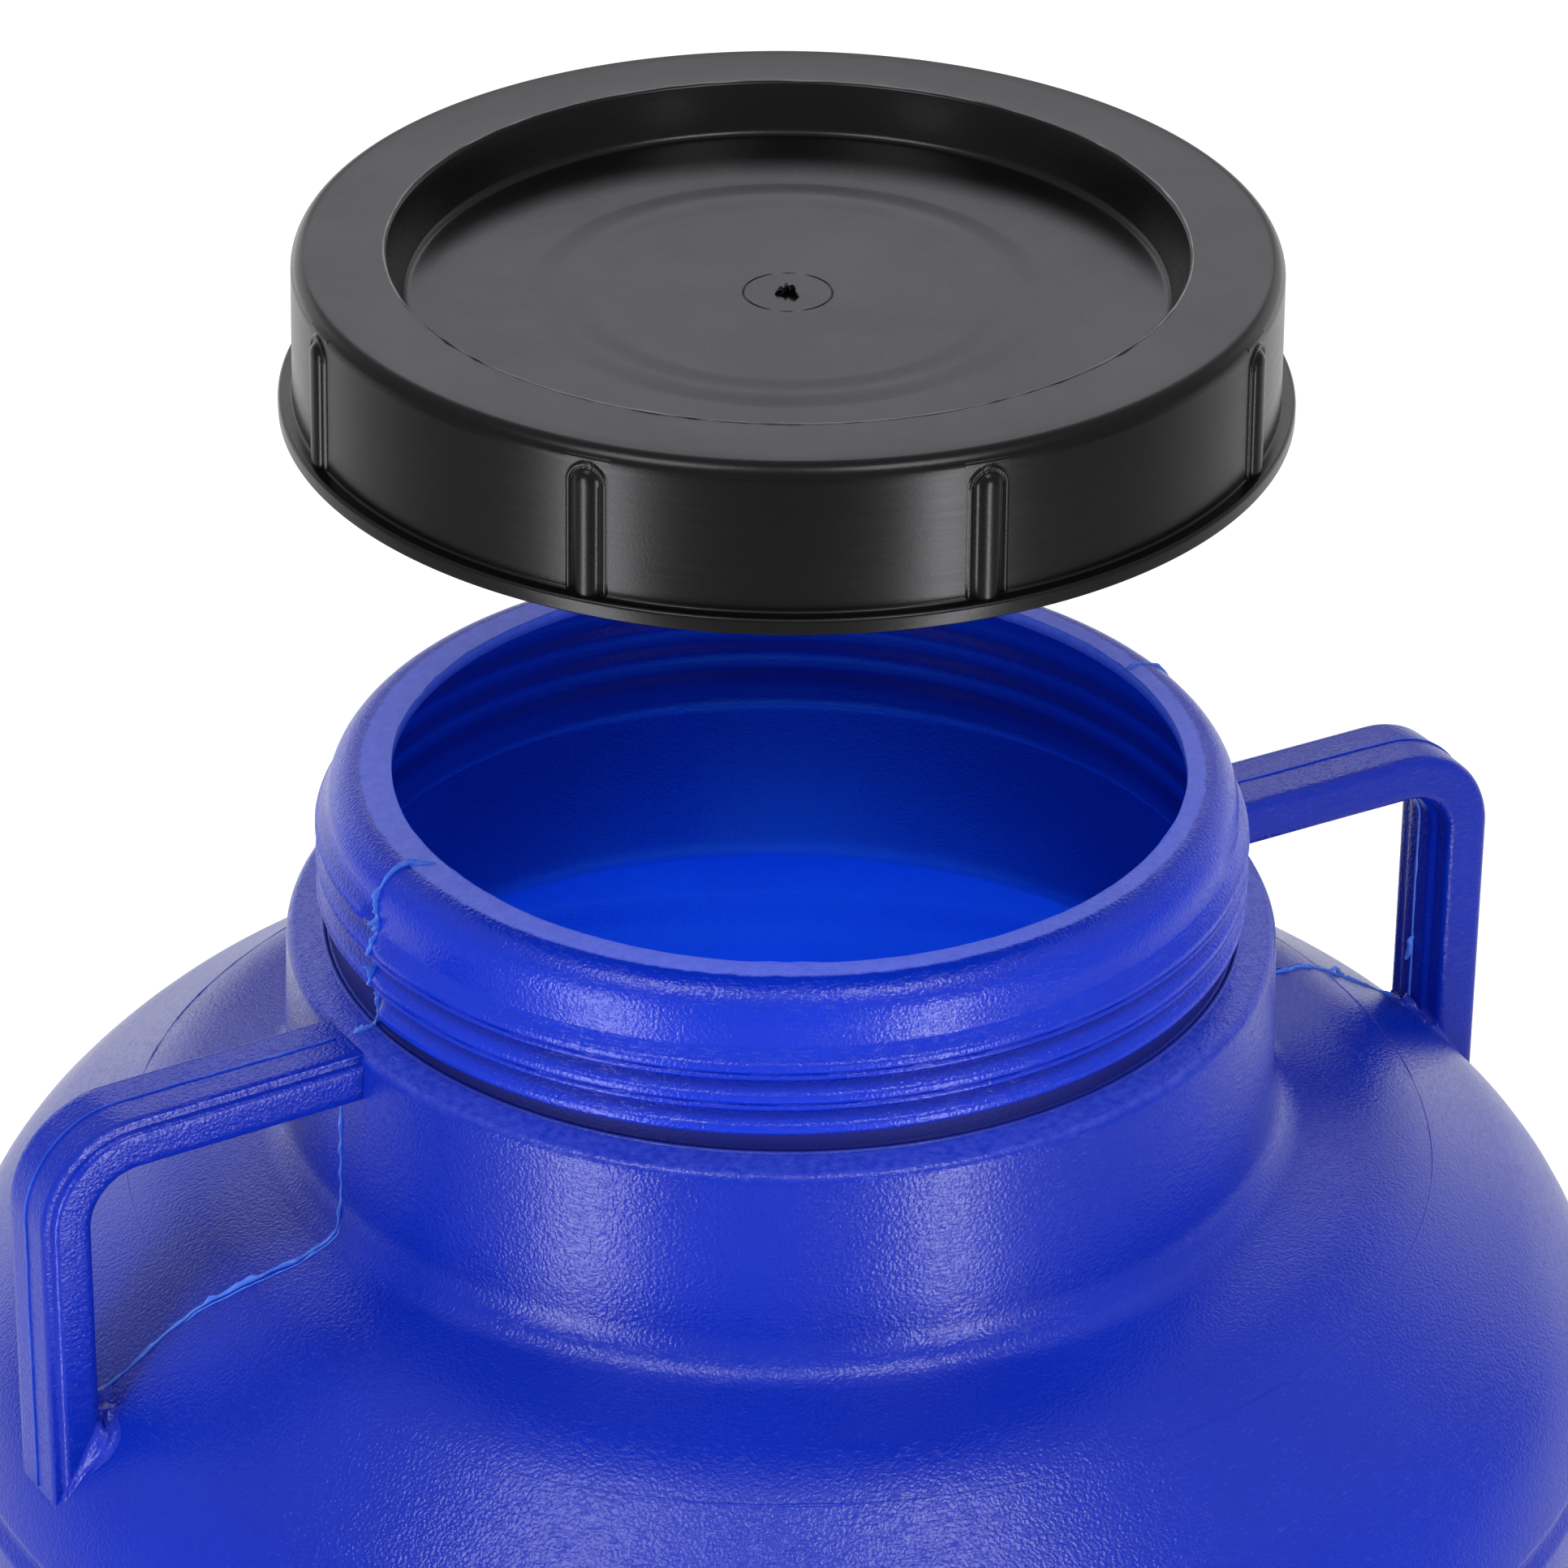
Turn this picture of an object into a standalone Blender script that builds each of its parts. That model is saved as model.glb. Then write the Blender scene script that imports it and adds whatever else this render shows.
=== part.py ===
"""A blow-moulded pickling barrel with a screw lid, as a Blender 4.5 script.

Metres, +Z up. The barrel stands on its base ring at the origin, its two handles
lie along X in the mould's parting plane, and the lid hangs above the neck on the
thread's own helix. Run it with: blender --background --python part.py
"""

import math

import bmesh
import bpy
from mathutils import Matrix, Vector

# Tessellation
TURNED_STEPS = 56
THREAD_STEPS = 56
RIB_STEPS = 10
ARC_STEP_DEG = 30.0
MERGE = 0.00005

# Clearances that several pieces share
GAP = 0.0003
WALL = 0.0032

# Barrel: overall sizes
BARREL_HEIGHT = 0.606
BODY_RADIUS = 0.206

# Barrel: trimmed lip and neck
NECK_RADIUS = 0.109
LIP_WIDTH = 0.014
LIP_ROUND = 0.009
NECK_HEIGHT = 0.039

# Barrel: collar under the thread, with its sloping ledge
COLLAR_STEP = 0.0103
LEDGE_FALL = 0.0022
LEDGE_ROUND = 0.0026
COLLAR_DRAFT = 0.0014
COLLAR_DEPTH = 0.0515
COLLAR_FOOT_ROUND = 0.010

# Barrel: shoulder, as shares of its width and of its depth from the collar's foot
SHOULDER_DEPTH = 0.069
SHOULDER_SHARES = ((0.365, 0.085), (0.765, 0.425), (0.955, 0.670))
SHOULDER_ROUND = 0.050

# Barrel: bead groove where the shoulder meets the body, and the body's two rings
BEAD_DEPTH = 0.0026
BEAD_WIDTH = 0.009
RING_DEPTH = 0.004
RING_WIDTH = 0.022
RING_HEIGHT_SHARES = (0.70, 0.27)

# Barrel: base
BASE_ROUND = 0.028
FOOT_WIDTH = 0.010
BASE_RISE = 0.010
BASE_RISE_RUN = 0.012

# Thread shared by the neck and the lid
THREAD_PITCH = 0.008
THREAD_EMBED = 0.001
RUNOUT_SHARE = 0.2
RUNOUT_DEG = 18.0
NECK_THREAD_HEIGHT = 0.0029
NECK_THREAD_ROOT_WIDTH = 0.0060
NECK_THREAD_CREST_WIDTH = 0.0028
NECK_THREAD_TURNS = 3.0
NECK_THREAD_DROP = 0.0363
NECK_THREAD_START_DEG = 180.0
LID_THREAD_HEIGHT = 0.0025
LID_THREAD_ROOT_WIDTH = 0.0044
LID_THREAD_CREST_WIDTH = 0.0020
LID_THREAD_TURNS = 1.6
LID_THREAD_RISE = 0.0065
THREAD_CLEARANCE = 0.0006

# Lid
LID_HEIGHT = 0.0392
LID_WALL = 0.0017
LID_DRAFT = 0.0004
LID_TOP_WALL = 0.0028
LID_TOP_ROUND = 0.0036
FLANGE_REACH = 0.0033
FLANGE_HEIGHT = 0.0040
RIM_INSET = 0.0167
RIM_EDGE_ROUND = 0.0008
RECESS_DEPTH = 0.0122
RECESS_DRAFT = 0.0038
RECESS_FOOT_ROUND = 0.0022
PLUG_WALL = 0.0022
LID_LIFT_TURNS = 16.2

# Grip ribs round the lid's skirt
RIB_COUNT = 8
RIB_START_DEG = 37.3
RIB_HALF_WIDTH = 0.0032
RIB_HALF_DEPTH = 0.0017
RIB_STAND = 0.0019
RIB_DROP = 0.0036
RIB_PAD_WIDTH = 0.0094
RIB_PAD_STAND = 0.0007

# Sealing ring in the lid's channel
SEAL_THICKNESS = 0.0026
SEAL_INNER_CLEARANCE = 0.0006
SEAL_WIDTH = 0.0138

# Handles
HANDLE_SETBACK = 0.0045
HANDLE_THICKNESS = 0.012
HANDLE_WIDTH = 0.022
HANDLE_BEND = 0.025
HANDLE_DROP = 0.0418
HANDLE_FALL = 0.0006
HANDLE_LAP = 0.0025
HANDLE_EDGE = 0.0014
HANDLE_EDGE_STEPS = 2
HANDLE_BAND = 0.0026
HANDLE_BAND_WIDTH = 0.0178

# Heights and radii that follow from the sizes above
MOUTH_RADIUS = NECK_RADIUS - LIP_WIDTH
COLLAR_RADIUS = NECK_RADIUS + COLLAR_STEP
HANDLE_REACH = BODY_RADIUS - HANDLE_SETBACK
RIM_INNER_RADIUS = NECK_RADIUS - RIM_INSET
NECK_FOOT_Z = BARREL_HEIGHT - NECK_HEIGHT
LEDGE_Z = NECK_FOOT_Z - LEDGE_FALL
COLLAR_FOOT_Z = LEDGE_Z - COLLAR_DEPTH
COLLAR_FOOT_RADIUS = COLLAR_RADIUS + COLLAR_DRAFT
SHOULDER_FOOT_Z = COLLAR_FOOT_Z - SHOULDER_DEPTH
FOOT_RADIUS = BODY_RADIUS - BASE_ROUND - FOOT_WIDTH
LID_BORE_RADIUS = NECK_RADIUS + NECK_THREAD_HEIGHT + THREAD_CLEARANCE
LID_RADIUS = LID_BORE_RADIUS + LID_WALL
SEAL_SEAT = SEAL_THICKNESS + GAP + GAP
LID_CLOSED_Z = BARREL_HEIGHT + SEAL_SEAT + LID_TOP_WALL - LID_HEIGHT
LID_Z = LID_CLOSED_Z + LID_LIFT_TURNS * THREAD_PITCH

# Linear colours, with roughness
BLUE = (0.012, 0.040, 0.560, 1.0)
BLACK = (0.016, 0.016, 0.018, 1.0)
RUBBER = (0.030, 0.030, 0.032, 1.0)


def clear_scene():
    for obj in list(bpy.data.objects):
        bpy.data.objects.remove(obj, do_unlink=True)


def new_collection(name):
    collection = bpy.data.collections.new(name)
    bpy.context.scene.collection.children.link(collection)
    return collection


def plastic(name, colour, roughness):
    material = bpy.data.materials.new(name)
    material.use_nodes = True
    shader = material.node_tree.nodes["Principled BSDF"]
    shader.inputs["Base Color"].default_value = colour
    shader.inputs["Roughness"].default_value = roughness
    shader.inputs["Metallic"].default_value = 0.0
    material.diffuse_color = colour
    return material


def rounded(corners):
    """Points of an open outline of (x, z, radius) corners, with each corner rounded."""
    points = []
    for i, (x, z, radius) in enumerate(corners):
        here = Vector((x, z))
        if radius == 0 or i in (0, len(corners) - 1):
            points.append(here)
            continue
        before = (Vector(corners[i - 1][:2]) - here).normalized()
        after = (Vector(corners[i + 1][:2]) - here).normalized()
        turn = math.pi - before.angle(after)
        if turn < math.radians(1.0):
            points.append(here)
            continue
        reach = radius * math.tan(turn / 2)
        centre = here + (before + after).normalized() * radius / math.cos(turn / 2)
        first = here + before * reach - centre
        steps = max(1, math.ceil(math.degrees(turn) / ARC_STEP_DEG))
        way = 1 if first.cross(here + after * reach - centre) > 0 else -1
        for step in range(steps + 1):
            angle = way * turn * step / steps
            cos, sin = math.cos(angle), math.sin(angle)
            offset = Vector((first.x * cos - first.y * sin, first.x * sin + first.y * cos))
            points.append(centre + offset)
    return points


def turned(name, corners, collection, material, steps=TURNED_STEPS):
    """An outline spun round Z. It runs down its outer side."""
    points = rounded(corners)
    edges = [(i, i + 1) for i in range(len(points) - 1)]
    mesh = bpy.data.meshes.new(name)
    mesh.from_pydata([(p.x, 0, p.y) for p in points], edges, [])
    obj = bpy.data.objects.new(name, mesh)
    collection.objects.link(obj)
    spin = obj.modifiers.new("Spin", "SCREW")
    spin.axis = "Z"
    spin.steps = steps
    spin.render_steps = steps
    spin.use_smooth_shade = True
    spin.use_merge_vertices = True
    spin.merge_threshold = MERGE
    mesh.materials.append(material)
    return obj


def made_mesh(obj):
    """The object as a plain mesh object under the same name, with a curve's caps welded."""
    bpy.context.view_layer.update()
    graph = bpy.context.evaluated_depsgraph_get()
    mesh = bpy.data.meshes.new_from_object(obj.evaluated_get(graph))
    edit = bmesh.new()
    edit.from_mesh(mesh)
    bmesh.ops.remove_doubles(edit, verts=edit.verts, dist=MERGE)
    bmesh.ops.recalc_face_normals(edit, faces=edit.faces)
    edit.to_mesh(mesh)
    edit.free()
    name, home, place = obj.name, obj.users_collection[0], obj.matrix_world.copy()
    bpy.data.objects.remove(obj, do_unlink=True)
    made = bpy.data.objects.new(name, mesh)
    home.objects.link(made)
    made.matrix_world = place
    return made


def set_former(obj):
    obj.hide_render = True
    obj.display_type = "WIRE"


def combine(obj, other, operation, solver="EXACT"):
    step = obj.modifiers.new(other.name, "BOOLEAN")
    step.operation = operation
    step.solver = solver
    step.object = other
    set_former(other)


def outline_solid(name, corners, thickness, collection):
    """A closed outline in the XZ plane, filled and extruded to a thickness along Y."""
    points = rounded([*corners, corners[0]])[:-1]
    curve = bpy.data.curves.new(name, "CURVE")
    curve.dimensions = "2D"
    curve.fill_mode = "BOTH"
    curve.extrude = thickness / 2
    spline = curve.splines.new("POLY")
    spline.points.add(len(points) - 1)
    for point, place in zip(spline.points, points):
        point.co = (place.x, place.y, 0, 1)
    spline.use_cyclic_u = True
    obj = bpy.data.objects.new(name, curve)
    collection.objects.link(obj)
    solid = made_mesh(obj)
    solid.data.transform(Matrix.Rotation(math.pi / 2, 4, "X"))
    return solid


def thread_section(name, height, root_width, crest_width, side, collection):
    """The ridge's section: +X points away from the wall it stands on."""
    slope = (root_width - crest_width) / 2 / height
    buried = root_width / 2 + slope * THREAD_EMBED
    crest = THREAD_EMBED + height
    outline = (
        (0, -buried),
        (crest * side, -crest_width / 2),
        (crest * side, crest_width / 2),
        (0, buried),
    )
    curve = bpy.data.curves.new(name, "CURVE")
    spline = curve.splines.new("POLY")
    spline.points.add(len(outline) - 1)
    for point, (x, y) in zip(spline.points, outline):
        point.co = (x, y, 0, 1)
    spline.use_cyclic_u = True
    obj = bpy.data.objects.new(name, curve)
    collection.objects.link(obj)
    set_former(obj)
    return obj


def helical_ridge(name, section, radius, start_angle, start_height, turns, collection):
    """The thread: the section swept up a right-hand helix, run out at both ends."""
    curve = bpy.data.curves.new(name, "CURVE")
    curve.dimensions = "3D"
    curve.twist_mode = "Z_UP"
    curve.bevel_mode = "OBJECT"
    curve.bevel_object = section
    curve.use_fill_caps = True
    spline = curve.splines.new("POLY")
    steps = round(turns * THREAD_STEPS)
    spline.points.add(steps)
    for step, point in enumerate(spline.points):
        swept = turns * step / steps
        angle = start_angle + math.tau * swept
        height = start_height + THREAD_PITCH * swept
        point.co = (radius * math.cos(angle), radius * math.sin(angle), height, 1)
        from_end = math.degrees(math.tau * min(swept, turns - swept))
        point.radius = min(1, RUNOUT_SHARE + (1 - RUNOUT_SHARE) * from_end / RUNOUT_DEG)
    obj = bpy.data.objects.new(name, curve)
    collection.objects.link(obj)
    return made_mesh(obj)


def ring_groove(radius, height, depth, width):
    """Corners of a flared groove round a wall, from its upper edge to its lower one."""
    return [
        (radius, height + width / 2, 0),
        (radius - depth, height, 0),
        (radius, height - width / 2, 0),
    ]


def shoulder_corners(inset):
    """The shoulder's corners, moved into the wall by the inset."""
    width = BODY_RADIUS - COLLAR_FOOT_RADIUS
    corners = []
    for across, down in SHOULDER_SHARES:
        radius = COLLAR_FOOT_RADIUS + width * across
        height = COLLAR_FOOT_Z - SHOULDER_DEPTH * down
        corners.append((radius - inset * across, height - inset, SHOULDER_ROUND))
    return corners


def body_grooves(inset):
    """The bead groove under the shoulder and the two rings, moved into the wall."""
    corners = ring_groove(
        BODY_RADIUS - inset, SHOULDER_FOOT_Z, BEAD_DEPTH, BEAD_WIDTH
    )
    for share in RING_HEIGHT_SHARES:
        corners += ring_groove(
            BODY_RADIUS - inset, SHOULDER_FOOT_Z * share, RING_DEPTH, RING_WIDTH
        )
    return corners


def barrel_outside():
    """The barrel's outer corners from the trimmed lip down to the middle of its base."""
    return [
        (MOUTH_RADIUS, BARREL_HEIGHT, 0),
        (NECK_RADIUS, BARREL_HEIGHT, LIP_ROUND),
        (NECK_RADIUS, NECK_FOOT_Z, 0),
        (COLLAR_RADIUS, LEDGE_Z, LEDGE_ROUND),
        (COLLAR_FOOT_RADIUS, COLLAR_FOOT_Z, COLLAR_FOOT_ROUND),
        *shoulder_corners(0),
        *body_grooves(0),
        (BODY_RADIUS, 0, BASE_ROUND),
        (FOOT_RADIUS, 0, 0),
        (FOOT_RADIUS - BASE_RISE_RUN, BASE_RISE, 0),
        (0, BASE_RISE, 0),
    ]


def barrel_inside():
    """The inner corners from the middle of the base up to the lip's underside."""
    corners = [
        (MOUTH_RADIUS, BARREL_HEIGHT - WALL, 0),
        (NECK_RADIUS - WALL, BARREL_HEIGHT - WALL, LIP_ROUND - WALL),
        (NECK_RADIUS - WALL, NECK_FOOT_Z - WALL, 0),
        (COLLAR_RADIUS - WALL, LEDGE_Z - WALL, 0),
        (COLLAR_FOOT_RADIUS - WALL, COLLAR_FOOT_Z - WALL, COLLAR_FOOT_ROUND),
        *shoulder_corners(WALL),
        *body_grooves(WALL),
        (BODY_RADIUS - WALL, WALL, BASE_ROUND - WALL),
        (FOOT_RADIUS, WALL, 0),
        (FOOT_RADIUS - BASE_RISE_RUN, BASE_RISE + WALL, 0),
        (0, BASE_RISE + WALL, 0),
    ]
    return corners[::-1]


def build_barrel(parts, formers, material):
    corners = barrel_inside() + barrel_outside()
    barrel = turned("barrel_body", corners, parts, material)
    section = thread_section(
        "neck_thread_section",
        NECK_THREAD_HEIGHT,
        NECK_THREAD_ROOT_WIDTH,
        NECK_THREAD_CREST_WIDTH,
        1,
        formers,
    )
    thread = helical_ridge(
        "neck_thread",
        section,
        NECK_RADIUS - THREAD_EMBED,
        math.radians(NECK_THREAD_START_DEG),
        BARREL_HEIGHT - NECK_THREAD_DROP,
        NECK_THREAD_TURNS,
        formers,
    )
    combine(barrel, thread, "UNION")
    return barrel


def handle_layer(name, outer, inner, width, collection):
    """The part of a handle that lies between two depths under its outer face."""
    top = BARREL_HEIGHT - HANDLE_DROP
    root = COLLAR_RADIUS - HANDLE_LAP - outer
    foot = SHOULDER_FOOT_Z + BEAD_WIDTH + outer
    corners = [
        (root, top - outer, 0),
        (HANDLE_REACH - outer, top - outer - HANDLE_FALL, HANDLE_BEND - outer),
        (HANDLE_REACH - outer, foot, 0),
        (HANDLE_REACH - inner, foot, 0),
        (HANDLE_REACH - inner, top - inner - HANDLE_FALL, HANDLE_BEND - inner),
        (root, top - inner, 0),
    ]
    layer = outline_solid(name, corners, width, collection)
    edge = layer.modifiers.new("Edge", "BEVEL")
    edge.width = HANDLE_EDGE
    edge.segments = HANDLE_EDGE_STEPS
    edge.limit_method = "ANGLE"
    return layer


def build_handles(parts, formers, material):
    """An angled grip bar each side, cut to lie against the collar and the shoulder."""
    outside = [(x + GAP, z + GAP, r) for x, z, r in barrel_outside()]
    keep_off = [(0, BARREL_HEIGHT + GAP, 0), *outside[1:-1], (0, BASE_RISE, 0)]
    seat = turned("handle_seat", keep_off, formers, material)
    for name, turn in (("handle_right", 0), ("handle_left", math.pi)):
        bar = handle_layer(name, HANDLE_BAND, HANDLE_THICKNESS, HANDLE_WIDTH, parts)
        bar.data.materials.append(material)
        bar.rotation_euler.z = turn
        band_inner = (HANDLE_BAND + HANDLE_THICKNESS) / 2
        band = handle_layer(f"{name}_band", 0, band_inner, HANDLE_BAND_WIDTH, formers)
        band.rotation_euler.z = turn
        combine(bar, band, "UNION", "MANIFOLD")
        combine(bar, seat, "DIFFERENCE", "MANIFOLD")


def lid_outline():
    """The lid's section from the middle of its recess, over the rim and back under it."""
    floor = LID_HEIGHT - RECESS_DEPTH
    recess_foot = RIM_INNER_RADIUS - RECESS_DRAFT
    ceiling = LID_HEIGHT - LID_TOP_WALL
    skirt = LID_RADIUS + LID_DRAFT
    return [
        (0, floor, 0),
        (recess_foot, floor, RECESS_FOOT_ROUND),
        (RIM_INNER_RADIUS, LID_HEIGHT, RIM_EDGE_ROUND),
        (LID_RADIUS, LID_HEIGHT, LID_TOP_ROUND),
        (skirt, FLANGE_HEIGHT, 0),
        (skirt + FLANGE_REACH, FLANGE_HEIGHT, 0),
        (skirt + FLANGE_REACH, 0, 0),
        (LID_BORE_RADIUS, 0, 0),
        (LID_BORE_RADIUS, ceiling, LID_TOP_ROUND - LID_WALL),
        (RIM_INNER_RADIUS + PLUG_WALL, ceiling, 0),
        (recess_foot + PLUG_WALL, floor - PLUG_WALL, PLUG_WALL),
        (0, floor - PLUG_WALL, 0),
    ]


def build_lid(parts, formers, material):
    lid = turned("screw_lid", lid_outline(), parts, material)
    lid.location.z = LID_Z
    rib_top = LID_HEIGHT - RIB_DROP
    rib_foot = FLANGE_HEIGHT / 2
    pad_half = RIB_PAD_WIDTH / 2
    pad_corners = [
        (-pad_half, rib_foot, 0),
        (-pad_half, rib_top, pad_half),
        (pad_half, rib_top, pad_half),
        (pad_half, rib_foot, 0),
    ]
    bar_top = rib_top - pad_half + RIB_HALF_WIDTH
    bar_corners = [
        (0, bar_top, 0),
        (RIB_HALF_WIDTH, bar_top, RIB_HALF_WIDTH),
        (RIB_HALF_WIDTH, rib_foot, 0),
        (0, rib_foot, 0),
    ]
    pad_inner = LID_RADIUS - LID_WALL / 2
    pad_outer = LID_RADIUS + RIB_PAD_STAND
    for index in range(RIB_COUNT):
        angle = math.radians(RIB_START_DEG) + math.tau * index / RIB_COUNT
        outward = Vector((math.cos(angle), math.sin(angle), 0))
        pad = outline_solid(
            f"rib_pad_{index + 1}", pad_corners, pad_outer - pad_inner, formers
        )
        pad.location = outward * (pad_inner + pad_outer) / 2
        pad.location.z = LID_Z
        pad.rotation_euler.z = angle + math.pi / 2
        combine(lid, pad, "UNION")
        bar = turned(f"rib_{index + 1}", bar_corners, formers, material, RIB_STEPS)
        bar.location = outward * (LID_RADIUS + RIB_STAND - RIB_HALF_DEPTH)
        bar.location.z = LID_Z
        bar.rotation_euler.z = angle
        bar.scale.x = RIB_HALF_DEPTH / RIB_HALF_WIDTH
        combine(lid, bar, "UNION")
    start_height = LID_Z + LID_THREAD_RISE
    above_neck_start = start_height - THREAD_PITCH / 2 - BARREL_HEIGHT + NECK_THREAD_DROP
    start_angle = math.radians(NECK_THREAD_START_DEG)
    start_angle += math.tau * above_neck_start / THREAD_PITCH
    section = thread_section(
        "lid_thread_section",
        LID_THREAD_HEIGHT,
        LID_THREAD_ROOT_WIDTH,
        LID_THREAD_CREST_WIDTH,
        -1,
        formers,
    )
    thread = helical_ridge(
        "lid_thread",
        section,
        LID_BORE_RADIUS + THREAD_EMBED,
        start_angle,
        start_height,
        LID_THREAD_TURNS,
        formers,
    )
    combine(lid, thread, "UNION")
    return lid


def build_seal(parts, material):
    """The flat ring that the lid presses on the lip, seated in the lid's channel."""
    inner = RIM_INNER_RADIUS + PLUG_WALL + SEAL_INNER_CLEARANCE
    outer = inner + SEAL_WIDTH
    middle = (inner + outer) / 2
    top = LID_HEIGHT - LID_TOP_WALL - GAP
    foot = top - SEAL_THICKNESS
    corners = [
        (middle, top, 0),
        (outer, top, 0),
        (outer, foot, 0),
        (inner, foot, 0),
        (inner, top, 0),
        (middle, top, 0),
    ]
    seal = turned("lid_gasket", corners, parts, material)
    seal.location.z = LID_Z
    return seal


def main():
    clear_scene()
    parts = new_collection("pickling_barrel")
    formers = new_collection("formers")
    blue = plastic("blue_polyethylene", BLUE, 0.38)
    black = plastic("black_polypropylene", BLACK, 0.42)
    rubber = plastic("seal_rubber", RUBBER, 0.75)
    build_barrel(parts, formers, blue)
    build_handles(parts, formers, blue)
    lid = build_lid(parts, formers, black)
    seal = build_seal(parts, rubber)
    axis = bpy.data.objects.new("lid_axis", None)
    axis.location.z = LID_Z
    parts.objects.link(axis)
    bpy.context.view_layer.update()
    for obj in (lid, seal):
        obj.parent = axis
        obj.matrix_parent_inverse = axis.matrix_world.inverted()


main()
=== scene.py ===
"""The looks of a blow-moulded pickling barrel with its screw lid held above the neck.

Every piece is made here as a mesh in metres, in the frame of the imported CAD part. The
barrel stands on its base at the origin, the parting plane of its mould is y = 0, and
the handles lie along X. Every random draw comes from a generator with a fixed seed.
"""

import math

import bpy
import numpy as np
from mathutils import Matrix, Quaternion, Vector


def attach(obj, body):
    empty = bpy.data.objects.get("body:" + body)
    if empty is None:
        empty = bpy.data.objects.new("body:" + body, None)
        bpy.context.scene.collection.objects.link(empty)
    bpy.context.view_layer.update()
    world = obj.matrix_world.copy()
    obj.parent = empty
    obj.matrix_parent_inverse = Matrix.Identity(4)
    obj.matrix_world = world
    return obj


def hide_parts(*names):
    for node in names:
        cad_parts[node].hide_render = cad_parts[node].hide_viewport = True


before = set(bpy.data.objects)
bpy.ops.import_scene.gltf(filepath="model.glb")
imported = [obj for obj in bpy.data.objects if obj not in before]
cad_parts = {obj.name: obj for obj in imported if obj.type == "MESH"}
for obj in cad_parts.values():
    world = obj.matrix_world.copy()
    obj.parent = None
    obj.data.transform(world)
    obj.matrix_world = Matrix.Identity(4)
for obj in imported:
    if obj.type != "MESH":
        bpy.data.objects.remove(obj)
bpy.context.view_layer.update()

# Overall sizes as in the CAD part, but for the ledge, which lies a little lower
HEIGHT = 0.606
WALL = 0.0032
MOUTH_RADIUS = 0.095
NECK_RADIUS = 0.109
COLLAR_RADIUS = 0.1193
COLLAR_FOOT_RADIUS = 0.1207
BODY_RADIUS = 0.206
LEDGE_Z = -0.0412
COLLAR_FOOT_Z = -0.0927
SHOULDER_DEPTH = 0.069
SHOULDER_SHARES = ((0.365, 0.085), (0.765, 0.425), (0.955, 0.670))
SHOULDER_FOOT_Z = COLLAR_FOOT_Z - SHOULDER_DEPTH
BASE_RISE = 0.010

# How finely the round pieces are divided
COLUMNS = 432
FINE_STEP = 0.00022
COARSE_STEP = 0.0035
LID_COLUMNS = 360
CORNER_STEP_DEG = 7.5

# The opening is cut a little off centre, and the shift fades out over the reach
CUT_OFFSET = 0.0015
CUT_REACH = 0.006
CUT_ANGLE = math.radians(-30.4)

# Between which heights from the lip the outer thread, its inner wave and the cut are made
THREAD_SPAN = (-0.0408, -0.006)
INNER_SPAN = (-0.046, -0.008)
LIP_SPAN = (-0.0045, 0.0005)

# The body isn't quite round: two waves that fade in below the collar
SWAY_TWO, SWAY_FIVE = 0.00035, 0.00022
SWAY_FADE = (-0.095, -0.16)

# Neck thread: heights over the wall, by distance above the ridge's lower edge
PITCH = 0.008
THREAD_START = math.pi
THREAD_TURNS = 3.0
THREAD_EDGE_Z = -0.03775
RIDGE_MIDDLE_Z = -0.0363
RUNOUT = math.radians(18.0)
BLUNT_END = math.radians(2.5)
SEAM_DIP, SEAM_DIP_SPAN = 0.25, 0.03
RIDGE = np.array((
    (-2.0, 0), (-1.6, 0.5), (-1.2, 1.5), (-0.9, 2.3), (-0.6, 2.68), (-0.2, 2.78), (0.15, 2.68),
    (0.4, 2.35), (0.55, 2.1), (0.7, 2.15), (0.95, 2.6), (1.4, 2.85), (2.0, 2.9), (2.6, 2.8),
    (3.1, 2.5), (3.4, 2.1), (4.9, 1.0), (6.2, 0.05), (6.4, 0),
)) / 1000
LOWEST_RIDGE = np.array((
    (-2.9, -1.3), (-1.0, -1.3), (-0.4, -0.7), (0.2, 0.8), (0.55, 1.9), (0.7, 2.4), (0.95, 2.7),
    (1.4, 2.87), (2.0, 2.9), (2.6, 2.8), (3.1, 2.5), (3.4, 2.1), (4.9, 1.0), (6.2, 0.05), (6.4, 0),
)) / 1000
BACK_RIDGE = np.array((
    (-1.0, 0), (-0.6, 0.7), (-0.25, 2.0), (-0.05, 2.7), (0.15, 2.9), (0.4, 2.75), (0.6, 2.35),
    (1.8, 1.85), (3.2, 1.1), (4.6, 0.4), (5.8, 0),
)) / 1000
INNER_WAVE = np.array(((-4.0, 0), (-2.5, 0.25), (0, 1.25), (2.5, 0.9), (4.0, 0.3), (6.0, 0))) / 1000

LIP_DRIFT = {
    "left": ((0.0935, 0.0045), (0.0975, 0.0022), (0.1005, 0.0004), (0.103, 0), (0.12, 0)),
    "right": ((0.09, -0.0010), (0.12, 0)),
}

# Size in mm of the pinched skin at a leg's foot, by mm round the leg from its far corner
WEB_SIZE = {
    "right": (
        (0, 1.5), (6, 4.0), (9.5, 10.0), (11, 9.5), (16, 5.5), (20, 2.5), (24, 0.8), (33, 0.5),
    ),
    "left": (
        (0, 1.5), (6, 3.5), (9.5, 8.0), (14, 7.0), (20, 5.4), (24, 4.0), (29, 2.2), (33, 0.5),
    ),
}

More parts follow.
